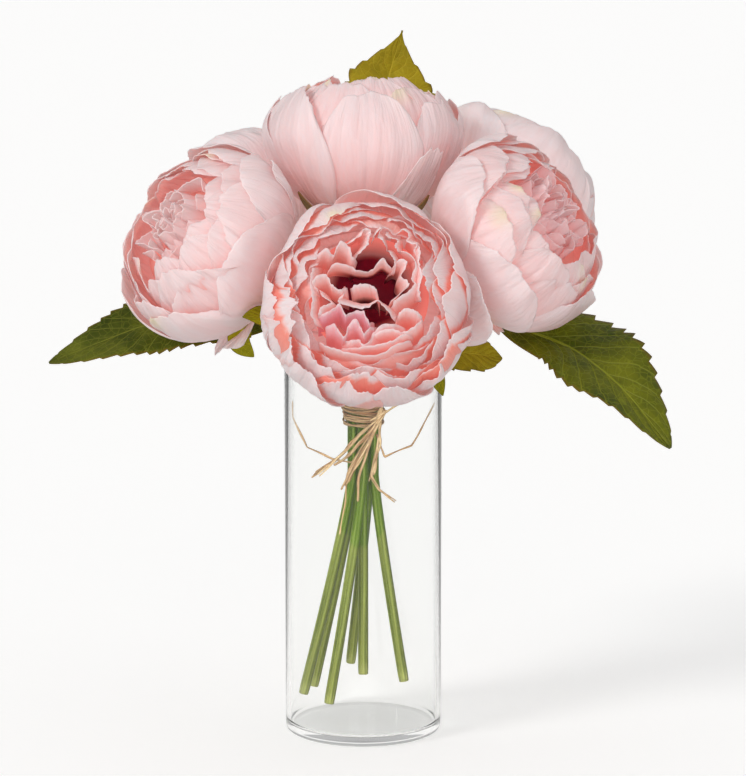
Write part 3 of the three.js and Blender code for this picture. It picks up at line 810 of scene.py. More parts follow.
def cuppedPetal(flower, random, spec):
    # A cupped petal follows the ball: rise goes from its root to its tip, around is its place and the way
    # across times its half width, which widens as the 0.7th power of a sine. Its points lie the ball's
    # radius times the cosine of rise from the axis, and its depth or the crown times the sine along it.
    spec = {**usualPetal, **spec}
    s, a = sheetGrid(crowded(petalSettings["rows"], petalSettings["crowd"]), petalSettings["columns"])
    edge = petalEdge(a, random, spec["ragged"])
    rise = mix(spec["root"], petalTip(flower, spec, a[0]), s * edge) * degree
    width = np.sin(math.pi * (0.07 + 0.7 * s)) ** 0.7
    around = (spec["place"] + a * spec["half"] * width) * degree
    relief = petalRelief(flower, spec, random, s, a)
    size = spec["size"] + spec["opening"] * s ** 3 + relief / ball["radius"]
    lift = np.where(rise < 0, size * ball["depth"], mix(size, 1, 0.6) * flower["crown"])
    middle = roundBloom(flower, size * ball["radius"] * np.cos(rise), around, lift * np.sin(rise))
    thinner = np.minimum((1 - np.abs(a)) * 6, 1) * np.minimum((1 - s) * 8 + 0.35, 1)
    thickness = petalSettings["thick"] * (0.45 + 0.55 * thinner)
    covered = petalCover(flower, spec, rise / degree, around / degree % 360)
    return sheetArrays(middle, thickness, *petalData(flower, spec, random, s, a, covered))


def ruffledPetal(flower, random, ring, place):
    # A lobe of a full heart stands up and leans over at its free edge in waves. Its angle from the bloom's
    # axis is a lean plus a wave of the way across, times a smooth step of the way up. Its distance from the
    # axis and its height are the running sums of that angle's sine and cosine.
    settings = ruffleSettings
    s, a = sheetGrid(crowded(settings["rows"], settings["crowd"]), settings["columns"])
    phase = random.uniform(*settings["pitch"]) * (a + 0.2 * np.sin(random.uniform(2, 4) * a))
    phase = phase + random.uniform(0, 6)
    swing = random.uniform(*settings["swing"])
    wave = 0.6 * np.sin(phase) - 0.4 * zigzag(phase / math.pi + 0.5)
    lean = random.uniform(*ring["lean"]) + 8 * np.sin(random.uniform(1, 2) * a + random.uniform(0, 6))
    fold = random.uniform(*settings["fold"])
    fold = fold * (1 + 0.5 * np.sin(random.uniform(3, 6) * a + random.uniform(0, 6)))
    bend = slope(s, settings["foldFrom"], 1 - settings["foldFrom"])
    angle = (lean + fold * wave) * bend * (2 - bend) * degree
    edge = (ring["high"] * flower["crown"] / settings["crown"] - flower["sunk"] + random.uniform(-2, 2)
            - ring["round"] * a ** 2 + 1.6 * np.sin(phase * 0.57 + random.uniform(0, 6))
            + 0.35 * ripple(a, random, 3, 14, 28))
    step = np.diff(s, axis=0, prepend=0) * (edge + settings["lip"] - settings["root"])
    out = (ring["radius"] + swing * s ** 2 * wave + ring["cup"] * s * (0.5 - a ** 2)
           + np.cumsum(np.sin(angle) * step, axis=0))
    height = settings["root"] + np.cumsum(np.cos(angle) * step, axis=0)
    around = place * degree + a * ring["half"] * (0.6 + 0.4 * s) / max(ring["radius"], 6)
    middle = roundBloom(flower, np.maximum(out, 0.6), around, height)
    own = np.full_like(s, random.uniform())
    blush = (1 - 0.36 * slope(s, 0.3, 0.35) - 0.36 * slope(s, 0.65, 0.25)) * flower["heartBlush"]
    data = np.stack([blush, own, flower["mauve"] + 0 * s, 0 * s], -1)
    return sheetArrays(middle, settings["thick"], data)


def ribbonPetal(flower, random, ribbon):
    # A long ruffle: its free edge is a smooth curve through the given points, its foot a calmer one beside
    # it, partly the parabola that fits that curve best. From foot to edge it follows a parabola that stands
    # up first and then leans over.
    settings = {**ribbonSettings, **ribbon}
    columns = settings["columns"] * len(ribbon["edge"])
    u = np.linspace(0, 1, columns)
    edge = smoothPath(ribbon["edge"], u) + [0, 0, settings["raised"]]
    main = np.stack([np.polyval(np.polyfit(u, edge[:, k], 2), u) for k in range(2)], -1)
    foot = mix(main, edge[:, :2], 0.45) + np.array(ribbon["beside"])
    edge = edge + 0.25 * np.stack([ripple(u, random, 3, 20, 80) for k in range(3)], -1)
    lift = edge[:, 2] - 5 * np.abs(2 * u - 1) ** 8
    s, _ = sheetGrid(crowded(settings["rows"], settings["crowd"]), columns)
    first, second, third = (1 - s) ** 2, 2 * s * (1 - s), s ** 2
    x = (first + second) * foot[:, 0] + third * edge[:, 0]
    y = (first + second) * foot[:, 1] + third * edge[:, 1]
    z = first * settings["foot"] + second * (lift + settings["arch"]) + third * lift
    middle = pressed(flower, fromBloom(flower, x, y, z))
    own = np.full_like(s, random.uniform())
    blush = 1 - 0.45 * slope(s, 0.15, 0.32) - 0.2 * slope(s, 0.52, 0.24) - 0.2 * slope(s, 0.84, 0.08)
    hollow = np.hypot(x, y - 5)
    # painted shade: maroon at the ruffles' feet, strongest near the middle of the hollow
    paintedHollowShade = np.clip((0.48 - s) / 0.22, 0, 1) * np.clip(2 - hollow / 9.5, 0.06, 1)
    magenta = settings["magenta"] * (1 - 0.6 * slope(s, 0.85, 0.1))
    data = np.stack([blush, own, magenta, paintedHollowShade], -1)
    return sheetArrays(middle, settings["thick"], data)


def heartCore(flower):
    # The bottom of a heart is a bowl that rises as the square of the way out. A deep one has painted maroon
    # shade within, darkest in its middle.
    settings = coreSettings
    rows, columns = settings["rows"], settings["columns"]
    low, high = settings["deep" if flower["deep"] else "full"]
    radius = np.linspace(0, settings["radius"], rows)[:, None]
    around = np.linspace(0, 2 * math.pi, columns, endpoint=False)[None, :]
    height = mix(low, high, np.clip(radius / settings["bowl"], 0, 1) ** 2) + 0 * around
    inward = 1 - radius / settings["radius"]
    x = radius * np.cos(around) + flower["heart"][0] * inward
    y = radius * np.sin(around) + flower["heart"][1] * inward
    faces = gridFaces(rows, columns, closed=True)
    data = np.zeros((rows, columns, 4))
    data[..., 0] = 0.95 if flower["deep"] else 0.65
    data[..., 1] = 0.5
    # painted shade: maroon in the middle of a deep heart
    data[..., 3] = flower["deep"] * np.clip(2.4 - radius / 12, 0, 1)
    data = data.reshape(-1, 4)
    uv = np.zeros((rows * columns, 2))
    upper = fromBloom(flower, x, y, height).reshape(-1, 3)
    under = fromBloom(flower, x, y, height - settings["thick"]).reshape(-1, 3)
    return joinArrays([(upper, faces, uv, data), (under, faces[:, ::-1], uv, data)])


bloomOuter = {
    # petals that lie loosely round the layers, from the outside in: place, size, tip and half width as in
    # petalLayers, and what is unlike usualPetal
    "front": [
        {"place": -128, "size": 1.055, "tip": 25, "half": 27},
        {"place": -78, "size": 1.05, "tip": 25, "half": 26},
        {"place": -176, "size": 1.045, "tip": 33, "half": 26, "paintedSeamShade": 0.35},
        {"place": -102, "size": 1.035, "tip": 30, "half": 28},
        {"place": -152, "size": 1.03, "tip": 33, "half": 28, "paintedSeamShade": 0.5},
        {"place": -44, "size": 1.025, "tip": 24, "half": 30},
    ],
}
bloomExtras = {
    # petals that stand out of the layers
    "front": [
        {"place": 1, "size": 1.06, "root": -70, "tip": 10, "half": 25, "opening": 0.19, "pale": 1,
         "ragged": 2},
        {"place": -80, "size": 0.76, "root": -10, "tip": 30, "half": 50, "waves": 1.4, "flush": 0.6},
        {"place": 76, "size": 0.73, "root": 0, "tip": 36, "half": 32, "waves": 1.3, "flush": 0.6},
        {"place": 172, "size": 0.68, "root": 0, "tip": 36, "half": 34, "waves": 1.3, "flush": 0.6},
    ],
    "left": [
        {"place": -79, "size": 1.07, "root": -70, "tip": -36, "half": 18, "opening": 0.12, "pale": 0.9},
        {"place": 52, "size": 1.05, "root": -75, "tip": 8, "half": 18, "opening": 0.04, "pale": 0.6},
    ],
    "top": [
        {"place": -47, "size": 1.0, "root": -84, "tip": -6, "half": 22, "opening": 0.2, "pale": 1,
         "waves": 2, "ragged": 1.5},
    ],
    "right": [
        {"place": -100, "size": 1.06, "root": -84, "tip": -44, "half": 24, "opening": 0.06, "pale": 0.3,
         "ragged": 3},
    ],
}
outerPetal = {"root": -70, "pale": 0.9, "ragged": 2}  # what bloomOuter's petals share
coverPlaces = np.arange(0, 360, 2)  # directions in which the height of the petals outside is kept


def noCover():
    return np.full(len(coverPlaces), -90.0)


def petalSpecs(flower, name, random):
    # What each petal is like. cover says how high the petals outside it stand, by direction, and reach takes
    # down how high those of its own layer do.
    specs = []
    cover = noCover()
    for outer in bloomOuter.get(name, ()):
        # each of these lies inside the one before, so its painted seam shade follows that one's edge
        specs.append({**outerPetal, "cover": cover, "reach": cover, **outer})
    for depth, layer in enumerate(petalLayers):
        reach = noCover()
        count = layer["count"] + flower["more"]
        spread = flower["spread"]
        for k in range(count):
            specs.append({
                "place": flower["turn"] + layer["start"] + 360 * k / count + random.uniform(-6, 6),
                "size": layer["size"] + random.uniform(-0.008, 0.008),
                "root": layer["root"],
                "tip": layer["tip"] - flower["open"] + random.uniform(-spread - 1, spread),
                "half": (layer["half"] + random.uniform(-4, 3)) * flower["narrow"],
                "cream": float(random.uniform() > flower["plain"]),
                "creamAt": random.uniform(-0.6, 0.6),
                "ragged": flower["ragged"],
                "pale": max(0.5 * (depth == 0), flower["paler"]),
                "fade": flower["fade"] * (1 - depth / 4),
                "beyond": 6 * (depth == 0 and name in bloomOuter),
                "cover": cover,
                "reach": reach,
            })
            if flower["mouth"]:
                specs[-1]["tip"] = random.uniform(-3, 4)
                specs[-1]["rim"] = layer["rim"]
        cover = reach
    for extra in bloomExtras.get(name, ()):
        specs.append({**extra, "cover": noCover(), "reach": noCover()})
    return specs


def makeBloom(name, flower):
    random = np.random.default_rng(flower["seed"])
    cupCloth = petalCloth("petalCloth_" + name, False, clothSettings["cupPaintedGlow"])
    rufflePaintedGlow = clothSettings["deepPaintedGlow" if flower["deep"] else "fullPaintedGlow"]
    ruffleCloth = petalCloth("ruffleCloth_" + name, True, rufflePaintedGlow)
    cups = [cuppedPetal(flower, random, spec) for spec in petalSpecs(flower, name, random)]
    makePiece("petals_" + name, joinArrays(cups), cupCloth, ["bloom_" + name])
    ruffles = [heartCore(flower)]
    if flower["deep"]:
        ruffles += [ribbonPetal(flower, random, ribbon) for ribbon in heartRibbons]
    else:
        for index, ring in enumerate(fullRings):
            for k in range(ring["count"]):
                step = 360 * (k + random.uniform(-0.2, 0.2)) / ring["count"]
                place = flower["turn"] + ruffleSettings["turn"] * index + step
                ruffles.append(ruffledPetal(flower, random, ring, place))
    makePiece("heart_" + name, joinArrays(ruffles), ruffleCloth, ["bloom_" + name])


for name, flower in flowers.items():
    makeBloom(name, flower)
print("blooms")


# vase

vaseSettings = {
    "radius": 41.5,
    "height": 203,
    "wall": 2.5,
    "floor": 4.5,
    "footRound": 3.0,
    "rimRound": 1.2,
    "segments": 192,
    "glass": (0.983, 0.986, 0.98, 1),
    # the green that soda glass shows edge on, darkened as painted shade for the dark lines along its edges
    "edgeGreenAndPaintedShade": (0.34, 0.37, 0.36, 1),
    "shadow": (0.56, 0.565, 0.56, 1),  # what is left of light that goes through on its way to the floor
    "bending": 1.33,  # index of refraction
}


def arcOf(radius, height, size, first, last, count):
    # points of a round corner in radius and height
    angle = np.linspace(first, last, count) * degree
    return np.stack([radius + size * np.cos(angle), height + size * np.sin(angle)], -1)


def latheArrays(profile, segments, toPlace=None):
    # a turned surface: the profile of radius and height, carried round the axis
    around = np.linspace(0, 2 * math.pi, segments, endpoint=False)
    x = profile[:, 0:1] * np.cos(around)
    y = profile[:, 0:1] * np.sin(around)
    z = profile[:, 1:2] + np.zeros((1, segments))
    points = np.stack([x, y, z], -1) if toPlace is None else toPlace(x, y, z)
    faces = gridFaces(len(profile), segments, closed=True)
    uv = np.stack(np.meshgrid(np.linspace(0, 1, segments), np.linspace(0, 1, len(profile))), -1)
    return points.reshape(-1, 3), faces, uv.reshape(-1, 2), np.zeros((len(profile) * segments, 4))


def clearGlass():
    # clear soda glass with a soft shadow; low down, where it is seen edge on, it turns greener, as soda
    # glass does, and darker with painted shade that stands in for the dark lines along its edges
    n = Nodes("clearGlass")
    facing = n.add("LayerWeight", {"Blend": 0.5}).outputs["Facing"]
    height = n.split(n.place())[2]
    low = n.ramp(height, [(0.02, 0.0), (0.045, 1.0), (0.085, 1.0), (0.12, 0.0)])
    edge = n.ramp(facing, [(0.75, 0.0), (0.95, 1.0)])
    # painted shade: this dark green goes where the glass is seen edge on, low down
    tint = n.blend(n.math("MULTIPLY", low, edge), vaseSettings["glass"], vaseSettings["edgeGreenAndPaintedShade"])
    n.instead("Is Shadow Ray", "BsdfTransparent", vaseSettings["shadow"])
    return n.surface(tint, 0.0, Transmission_Weight=1.0, IOR=vaseSettings["bending"])


def makeVase():
    # the profile of outer wall, rim, inner wall and floor, turned round the axis
    v = vaseSettings
    foot = v["footRound"]
    rim = v["rimRound"]
    inside = v["radius"] - v["wall"]
    profile = np.concatenate([
        [[0, 0]],
        arcOf(v["radius"] - foot, foot, foot, -90, 0, 10),
        arcOf(v["radius"] - rim, v["height"] - rim, rim, 0, 90, 7),
        arcOf(inside + rim, v["height"] - rim, rim, 90, 180, 7),
        arcOf(inside - foot, v["floor"] + foot, foot, 0, -90, 10),
        [[0, v["floor"]]],
    ])
    makePiece("glassVase", latheArrays(profile, v["segments"]), clearGlass(), ["vase"], True)


makeVase()
print("vase")


# stems

stemSettings = {
    "radius": 2.75,
    "endTaper": 0.93,  # times the radius at the cut end
    "topTaper": 0.94,
    "rib": 0.03,
    "ringRadius": 5.95,  # from the middle of the tie to the middle of a stem
    "tieLow": 136,
    "tieHigh": 178,
    "sides": 20,
    "steps": 70,
    "calyx": [(0, 9), (3.0, 9), (5.2, 6.4), (7.6, 2.6), (8.5, 0.6), (8.3, 0), (0, 0)],  # radius and depth
    "calyxSides": 24,
    "core": -40.6,  # height of the bloom's lower end, from its centre
    "gap": 0.4,
    "deepFrom": 0.098,  # metres up to where the green is the lighter one, in the middle of the bunch
}
sepalSettings = {
    "rows": 20,
    "columns": 13,
    "root": -85,
    "tip": -60,
    "longTip": -43,
    "half": 7.5,
    "stand": 1.14,  # times the size of the ball
    "thick": 0.6,
}


def bezier(points, places):
    # a curve by its end points and handles
    points = list(np.asarray(points, dtype=float))
    t = np.asarray(places)[:, None]
    layer = [point + np.zeros((len(t), 3)) for point in points]
    while len(layer) > 1:
        layer = [mix(first, second, t) for first, second in zip(layer[:-1], layer[1:])]
    return layer[0]


def stemRoute(flower):
    # bent outwards below the tie, straight through it, and from there in one bend to the bloom
    ring = np.zeros(3)
    if flower["ring"] is not None:
        ring = np.array([math.cos(flower["ring"] * degree), math.sin(flower["ring"] * degree), 0.0])
    ring = ring * stemSettings["ringRadius"]
    low = ring + [0, 0, stemSettings["tieLow"]]
    high = ring + [0, 0, stemSettings["tieHigh"]]
    end = np.array(flower["end"], dtype=float)
    bend = mix(end, low, 0.72)
    bend[0] = mix(end[0], ring[0], 0.8)
    below = stemSettings["core"] - stemSettings["gap"] - 8
    arrive = fromBloom(flower, 0, 0, below).reshape(3)
    drop = 0.35 * float(np.linalg.norm(arrive - high))
    spread = bezier([end, bend, low], np.linspace(0, 1, 30)[:-1])
    rise = bezier([high, high + [0, 0, drop], arrive - flower["z"] * drop, arrive], np.linspace(0, 1, 40))
    return np.concatenate([spread, [low], [mix(low, high, 0.5)], rise])


def evenly(path, count):
    # the same path with points at even distances
    lengths = np.concatenate([[0], np.cumsum(np.linalg.norm(np.diff(path, axis=0), axis=1))])
    wanted = np.linspace(0, lengths[-1], count)
    return np.stack([np.interp(wanted, lengths, path[:, k]) for k in range(3)], -1)


def tubeArrays(path, half, sides, reference, thin=1.0, own=0.0, rib=0.0, twist=0.0):
    # A round or flat strand along a path: rings of points at half widths, flattened by thin, closed at both
    # ends. Ribs swell the ring as a cosine of five times the way round. Its sides are turned from reference.
    # Its data says how near its edges a point is, then its own number, then how near its flat faces.
    tangent = unit(np.gradient(path, axis=0))
    side = unit(np.cross(tangent, reference))
    out = np.cross(side, tangent)
    around = np.linspace(0, 2 * math.pi, sides, endpoint=False)[None, :]
    along = np.linspace(0, 1, len(path))[:, None]
    swell = (1 + rib * np.cos(5 * around)) * np.asarray(half)[:, None]
    wide = swell * np.cos(around)
    deep = swell * np.sin(around) * thin
    turn = twist * along
    first = wide * np.cos(turn) - deep * np.sin(turn)
    second = wide * np.sin(turn) + deep * np.cos(turn)
    points = path[:, None, :] + side[:, None, :] * first[..., None] + out[:, None, :] * second[..., None]
    ends = [np.repeat(path[k][None, None, :], sides, axis=1) for k in (0, -1)]
    points = np.concatenate([ends[0], points, ends[1]])
    rows = len(path) + 2
    faces = gridFaces(rows, sides, closed=True)
    v = np.concatenate([[0], along[:, 0], [1]])
    uv = np.stack(np.meshgrid(np.linspace(0, 1, sides), v), -1).reshape(-1, 2)
    data = np.zeros((rows, sides, 4))
    data[..., 0] = np.cos(around) ** 10
    data[..., 1] = own
    data[..., 2] = np.sin(around) ** 2
    return points.reshape(-1, 3), faces, uv, data.reshape(-1, 4)


def stemGreen():
    # Smooth moulded green with fine lengthwise lines in its relief, and dark and light lengthwise streaks
    # that are painted shade and painted highlight. It is deeper above a height that grows as the square of
    # the distance to the side.
    n = Nodes("stemGreen")
    place = n.place()
    sepal = n.data()[0]
    _, along = n.surfacePlace()
    x, _, z = n.split(place)
    line = n.math("ADD", stemSettings["deepFrom"], n.math("MULTIPLY", n.math("MULTIPLY", x, x), 70.0))
    upper = n.math("MULTIPLY", n.math("SUBTRACT", z, line), 500.0, True)
    greens = [(0.0, linear(176, 178, 106)), (0.03, linear(132, 138, 64)), (0.35, linear(112, 122, 50))]
    colour = n.blend(upper, n.ramp(along, greens), linear(80, 110, 0))
    colour = n.blend(n.math("MULTIPLY", n.noise(place, 45.0, 2.0), 0.2), colour, linear(110, 138, 36))
    streaks = n.lengthwise((7.0, 2.0), 2.0)
    # painted shade: dark lengthwise streaks
    colour = n.blend(n.ramp(streaks, [(0.4, 0.75), (0.52, 0.0)]), colour, linear(58, 78, 6))
    # painted highlight: light lengthwise streaks
    colour = n.blend(n.ramp(streaks, [(0.53, 0.0), (0.62, 0.5)]), colour, linear(170, 184, 96))
    colour = n.blend(sepal, colour, linear(150, 118, 74))
    n.bump(n.lengthwise((26.0, 3.0), 2.0), 0.0004, 0.5)
    return n.surface(colour, 0.45, Specular_IOR_Level=0.15)


def sepalArrays(flower, place, tip):
    # a sepal lies on the underside of the bloom, widest a third of the way up, and ends in a point
    settings = sepalSettings
    s, a = sheetGrid(np.linspace(0, 1, settings["rows"]), settings["columns"])
    rise = mix(settings["root"], tip, s) * degree
    half = settings["half"] * np.sin(math.pi * (0.22 + 0.77 * s)) ** 0.8
    stand = settings["stand"] + 0.05 * s ** 2 * a ** 2
    radius = ball["radius"] * stand * np.cos(rise)
    around = place * degree + a * half / np.maximum(radius, 5)
    middle = roundBloom(flower, radius, around, ball["depth"] * stand * np.sin(rise))
    data = np.zeros((*s.shape, 4))
    data[..., 0] = 0.6 + 0.4 * s * np.abs(a)
    return sheetArrays(middle, settings["thick"], data)


def makeStem(name, flower, material):
    # the stem as a tube, the calyx as a turned cup, and four short sepals and any long ones
    settings = stemSettings
    path = evenly(stemRoute(flower), settings["steps"])
    half = settings["radius"] * mix(1.0, settings["topTaper"], np.linspace(0, 1, len(path)))
    half[0] *= settings["endTaper"]
    top = settings["core"] - settings["gap"]
    profile = np.array([(radius, top - depth) for radius, depth in settings["calyx"]], dtype=float)
    cup = latheArrays(profile, settings["calyxSides"], lambda x, y, z: fromBloom(flower, x, y, z))
    tube = tubeArrays(path, half, settings["sides"], (1, 0, 0), rib=settings["rib"])
    tube[3][:] = 0
    places = [(flower["turn"] + 45 + 90 * k, sepalSettings["tip"]) for k in range(4)]
    places += [(place, sepalSettings["longTip"]) for place in flower["sepals"]]
    sepals = [sepalArrays(flower, place, tip) for place, tip in places]
    arrays = joinArrays([tube, cup, *sepals])
    makePiece("greenStem_" + name, arrays, material, ["stem_" + name], True)


green = stemGreen()
for name, flower in flowers.items():
    makeStem(name, flower, green)
print("stems")


# leaves and bracts

leaves = {
    # where the stalk starts, points along it and along the midrib from base to tip, where the upper face
    # looks, half widths on both sides of the midrib, teeth, the kind of leaf, and point where the tip is
    # more drawn out than that of the others
    "leaf_left": {
        "from": (-15.6, -4.6, 203), "stalk": [(-30, -2, 213)],
        "rib": [(-48, 0, 219), (-85, -4, 219.4), (-111, -8, 218.3), (-134, -14, 211), (-163, -20, 200)],
        "face": (-0.1, -0.62, 0.78), "half": (23, 19), "teeth": 11, "kind": "green",
    },
    "leaf_right": {
        "from": (15.6, -4.6, 203), "stalk": [(34, -6, 213), (58, -6, 221.5)],
        "rib": [(72, -10, 220.5), (102, -21, 210.6), (119, -33, 201), (136, -46, 186.3), (156, -60, 162)],
        "face": (0.28, -0.66, 0.69), "half": (30, 24), "teeth": 11, "kind": "gloss",
    },
    "leaf_top": {
        "from": (9.6, 14, 210), "stalk": [(12, 34, 240), (4, 60, 280)],
        "rib": [(5, 64, 299), (11, 64, 333), (15, 63, 349.2), (21, 60, 369)],
        "face": (0.1, -0.95, 0.3), "half": (22, 28), "teeth": 6, "kind": "olive", "point": 1.6,
    },
    "leaf_low": {
        "from": (5.4, -13, 196), "stalk": [(22, -17, 205)],
        "rib": [(37, -28, 205), (50, -30, 206.5), (62, -28, 205), (72, -24, 203)],
        "face": (0.1, -0.75, 0.66), "half": (12, 12), "teeth": 4, "kind": "olive",
    },
    "leaf_back_left": {
        "from": (-7.8, 14, 193), "stalk": [(-20.1, 34.6, 204.6)],
        "rib": [(-27, 47, 209), (-40, 72, 214), (-52, 97, 216), (-62, 120, 212)],
        "face": (-0.1, 0.2, 0.97), "half": (21, 21), "teeth": 9, "kind": "gloss",
    },
    "leaf_back_right": {
        "from": (7.8, 14, 193), "stalk": [(20.1, 34.6, 204.6)],
        "rib": [(27, 47, 209), (42, 72, 215), (56, 96, 218), (70, 116, 214)],
        "face": (0.1, 0.2, 0.97), "half": (21, 21), "teeth": 9, "kind": "green",
    },
    "bract_upper": {
        "from": (-2.6, -14, 206), "stalk": [(-13, -27, 221)],
        "rib": [(-33, -42, 226), (-48, -57, 228.5), (-60, -68, 230.3)],
        "face": (-0.3, -0.8, 0.5), "half": (7.5, 7.5), "teeth": 0, "kind": "lime",
    },
    "bract_lower": {
        "from": (-16, -6, 206), "stalk": [(-30, -12, 214), (-50, -24, 225)],
        "rib": [(-60.5, -29, 222), (-63.1, -33, 213.3), (-56, -34, 205.2)],
        "face": (-0.3, -0.9, -0.1), "half": (6.5, 6.5), "teeth": 0, "kind": "lime",
    },
    "bract_front": {
        "from": (3, -13, 200), "stalk": [(12, -28, 205.5), (20, -42, 208)],
        "rib": [(28, -48, 206), (36, -53, 199), (40.7, -56, 188.5)],
        "face": (0.4, -0.7, 0.3), "half": (5.5, 5.5), "teeth": 0, "kind": "lime",
    },
}
leafKinds = {
    # colours of the deep parts, the middle ones and the veins, roughness, and how much it shines
    "green": {"colours": ((50, 58, 10), (92, 96, 26), (128, 130, 46)), "rough": 0.5, "shine": 0.09},
    "gloss": {"colours": ((58, 66, 6), (104, 106, 16), (144, 148, 40)), "rough": 0.34, "shine": 0.18},
    "olive": {"colours": ((118, 106, 20), (160, 142, 28), (184, 166, 48)), "rough": 0.55, "shine": 0.09},
    "lime": {"colours": ((120, 116, 14), (162, 156, 20), (190, 184, 50)), "rough": 0.55, "shine": 0.09},
}
leafSettings = {
    "rows": 110,
    "columns": 30,
    "thick": 0.5,
    "point": 0.8,
    "veins": 8,
    "veinBend": 2.4,  # how far the side veins run forward, in spaces between them
    "stalkSteps": 44,
    "stalkSides": 12,
    "stalkHalf": (1.35, 0.5),  # half widths where it starts and where it ends
}


def leafCloth(kind):
    # Coated cloth: a pale midrib, side veins half way between the whole numbers of the way along less a
    # power of the way across, a fine net between them and brown edges. It is quilted between its veins.
    n = Nodes("leafCloth_" + kind)
    settings = leafKinds[kind]
    place = n.place()
    across, along = n.surfacePlace()
    side = n.math("ABSOLUTE", n.math("SUBTRACT", n.math("MULTIPLY", across, 2.0), 1.0))
    net = n.add("TexVoronoi", {"Scale": 260.0, "Vector": place})
    net.feature = "DISTANCE_TO_EDGE"
    cells = n.ramp(net.outputs["Distance"], [(0.0, 1.0), (0.08, 0.0)])
    wobble = n.math("SUBTRACT", n.noise(place, 34.0, 3.0), 0.5)
    phase = n.total((along, float(leafSettings["veins"])),
                    (n.math("POWER", side, 0.8), -leafSettings["veinBend"]), (wobble, 0.95))
    gap = n.math("ABSOLUTE", n.math("SUBTRACT", n.math("FRACT", phase), 0.5))
    veins = n.ramp(gap, [(0.0, 0.9), (0.025, 0.6), (0.06, 0.0)])
    rib = n.ramp(side, [(0.0, 1.0), (0.016, 0.8), (0.034, 0.0)])
    lines = n.math("MAXIMUM", n.math("MULTIPLY", veins, 0.8), rib)
    lines = n.math("MAXIMUM", lines, n.math("MULTIPLY", cells, 0.4))
    cloud = n.ramp(n.noise(place, 38.0, 4.0, 0.6), [(0.35, 0.0), (0.65, 1.0)])
    deep, middle, vein = (linear(*colour) for colour in settings["colours"])
    colour = n.blend(cloud, deep, middle)
    colour = n.blend(n.math("MULTIPLY", lines, 0.7), colour, vein)
    margin = n.ramp(side, [(0.9, 0.0), (0.985, 0.75)])
    colour = n.blend(margin, colour, linear(110, 84, 24))
    height = n.total((gap, 1.6), (lines, -0.5), (n.noise(place, 900.0, 2.0), 0.15))
    n.bump(height, 0.0009, 0.6)
    return n.surface(colour, settings["rough"], Specular_IOR_Level=settings["shine"],
                     Subsurface_Weight=0.06, Subsurface_Radius=(0.002, 0.003, 0.0008), Subsurface_Scale=1.0)


def leafBlade(leaf, rib, random):
    # A blade along its midrib: half widths are a sine of the way along, cut by teeth that point forward,
    # folded up along the midrib, waved at its margins and quilted as the absolute value of a sine.
    tangent = unit(np.gradient(rib, axis=0))
    face = unit(np.array(leaf["face"], dtype=float))
    sideways = unit(np.cross(tangent, face))
    out = unit(np.cross(sideways, tangent))
    s, a = sheetGrid(np.linspace(0, 1, leafSettings["rows"]), leafSettings["columns"])
    outline = np.sin(math.pi * (0.03 + 0.965 * s) ** 0.86) ** leaf.get("point", leafSettings["point"])
    toothed = np.where((s > 0.22) & (s < 0.96), 1.0, 0.0) if leaf["teeth"] else np.zeros_like(s)
    shift = random.uniform(0, 1)
    cut = toothed * (0.13 * ((s * leaf["teeth"] * 1.25 + shift * (a > 0)) % 1.0) - 0.09)
    half = np.maximum(0.5, np.where(a < 0, *leaf["half"]) * outline * (1 + cut * np.abs(a) ** 3))
    size = max(leaf["half"])
    fold = 0.22 * half * np.abs(a) - 0.1 * half * a ** 2
    wave = 0.06 * size * np.abs(a) ** 2 * ripple(s + 0.35 * (a > 0), random, 2, 8, 16) * np.sin(math.pi * s)
    phase = s * leafSettings["veins"] - leafSettings["veinBend"] * np.abs(a) ** 0.8
    inner = np.abs(a) ** 0.5 * (1 - np.abs(a) ** 4) * outline
    quilt = 0.013 * size * np.abs(np.sin(math.pi * phase)) * inner
    middle = (rib[:, None, :] + sideways[:, None, :] * (a * half)[..., None]
              + out[:, None, :] * (fold + wave + quilt)[..., None])
    thickness = leafSettings["thick"] * (0.5 + 0.5 * np.minimum((1 - np.abs(a)) * 6, 1))
    return sheetArrays(middle, thickness, np.zeros((*s.shape, 4)))


def leafStalk(leaf, rib):
    # a tapered tube that runs a third of the way into the blade
    steps = leafSettings["stalkSteps"]
    inBlade = rib[int(leafSettings["rows"] * 0.3)]
    route = np.array([leaf["from"], *leaf["stalk"], leaf["rib"][0], inBlade], dtype=float)
    path = evenly(smoothPath(route, np.linspace(0, 1, 60)), steps)
    half = mix(*leafSettings["stalkHalf"], np.linspace(0, 1, steps) ** 2)
    stalk = tubeArrays(path, half, leafSettings["stalkSides"], (0, 1, 0.05))
    stalk[2][:, 0] = 0.5  # it has the midrib's colour
    return stalk


def makeLeaf(name, leaf, cloths):
    random = np.random.default_rng(len(name) * 7 + int(leaf["rib"][0][0]) + 200)
    rib = smoothPath(leaf["rib"], np.linspace(0, 1, leafSettings["rows"]))
    arrays = joinArrays([leafBlade(leaf, rib, random), leafStalk(leaf, rib)])
    makePiece("blade_" + name, arrays, cloths[leaf["kind"]], [name], True)


cloths = {kind: leafCloth(kind) for kind in leafKinds}
for name, leaf in leaves.items():
    makeLeaf(name, leaf, cloths)
print("leaves")


# raffia tie

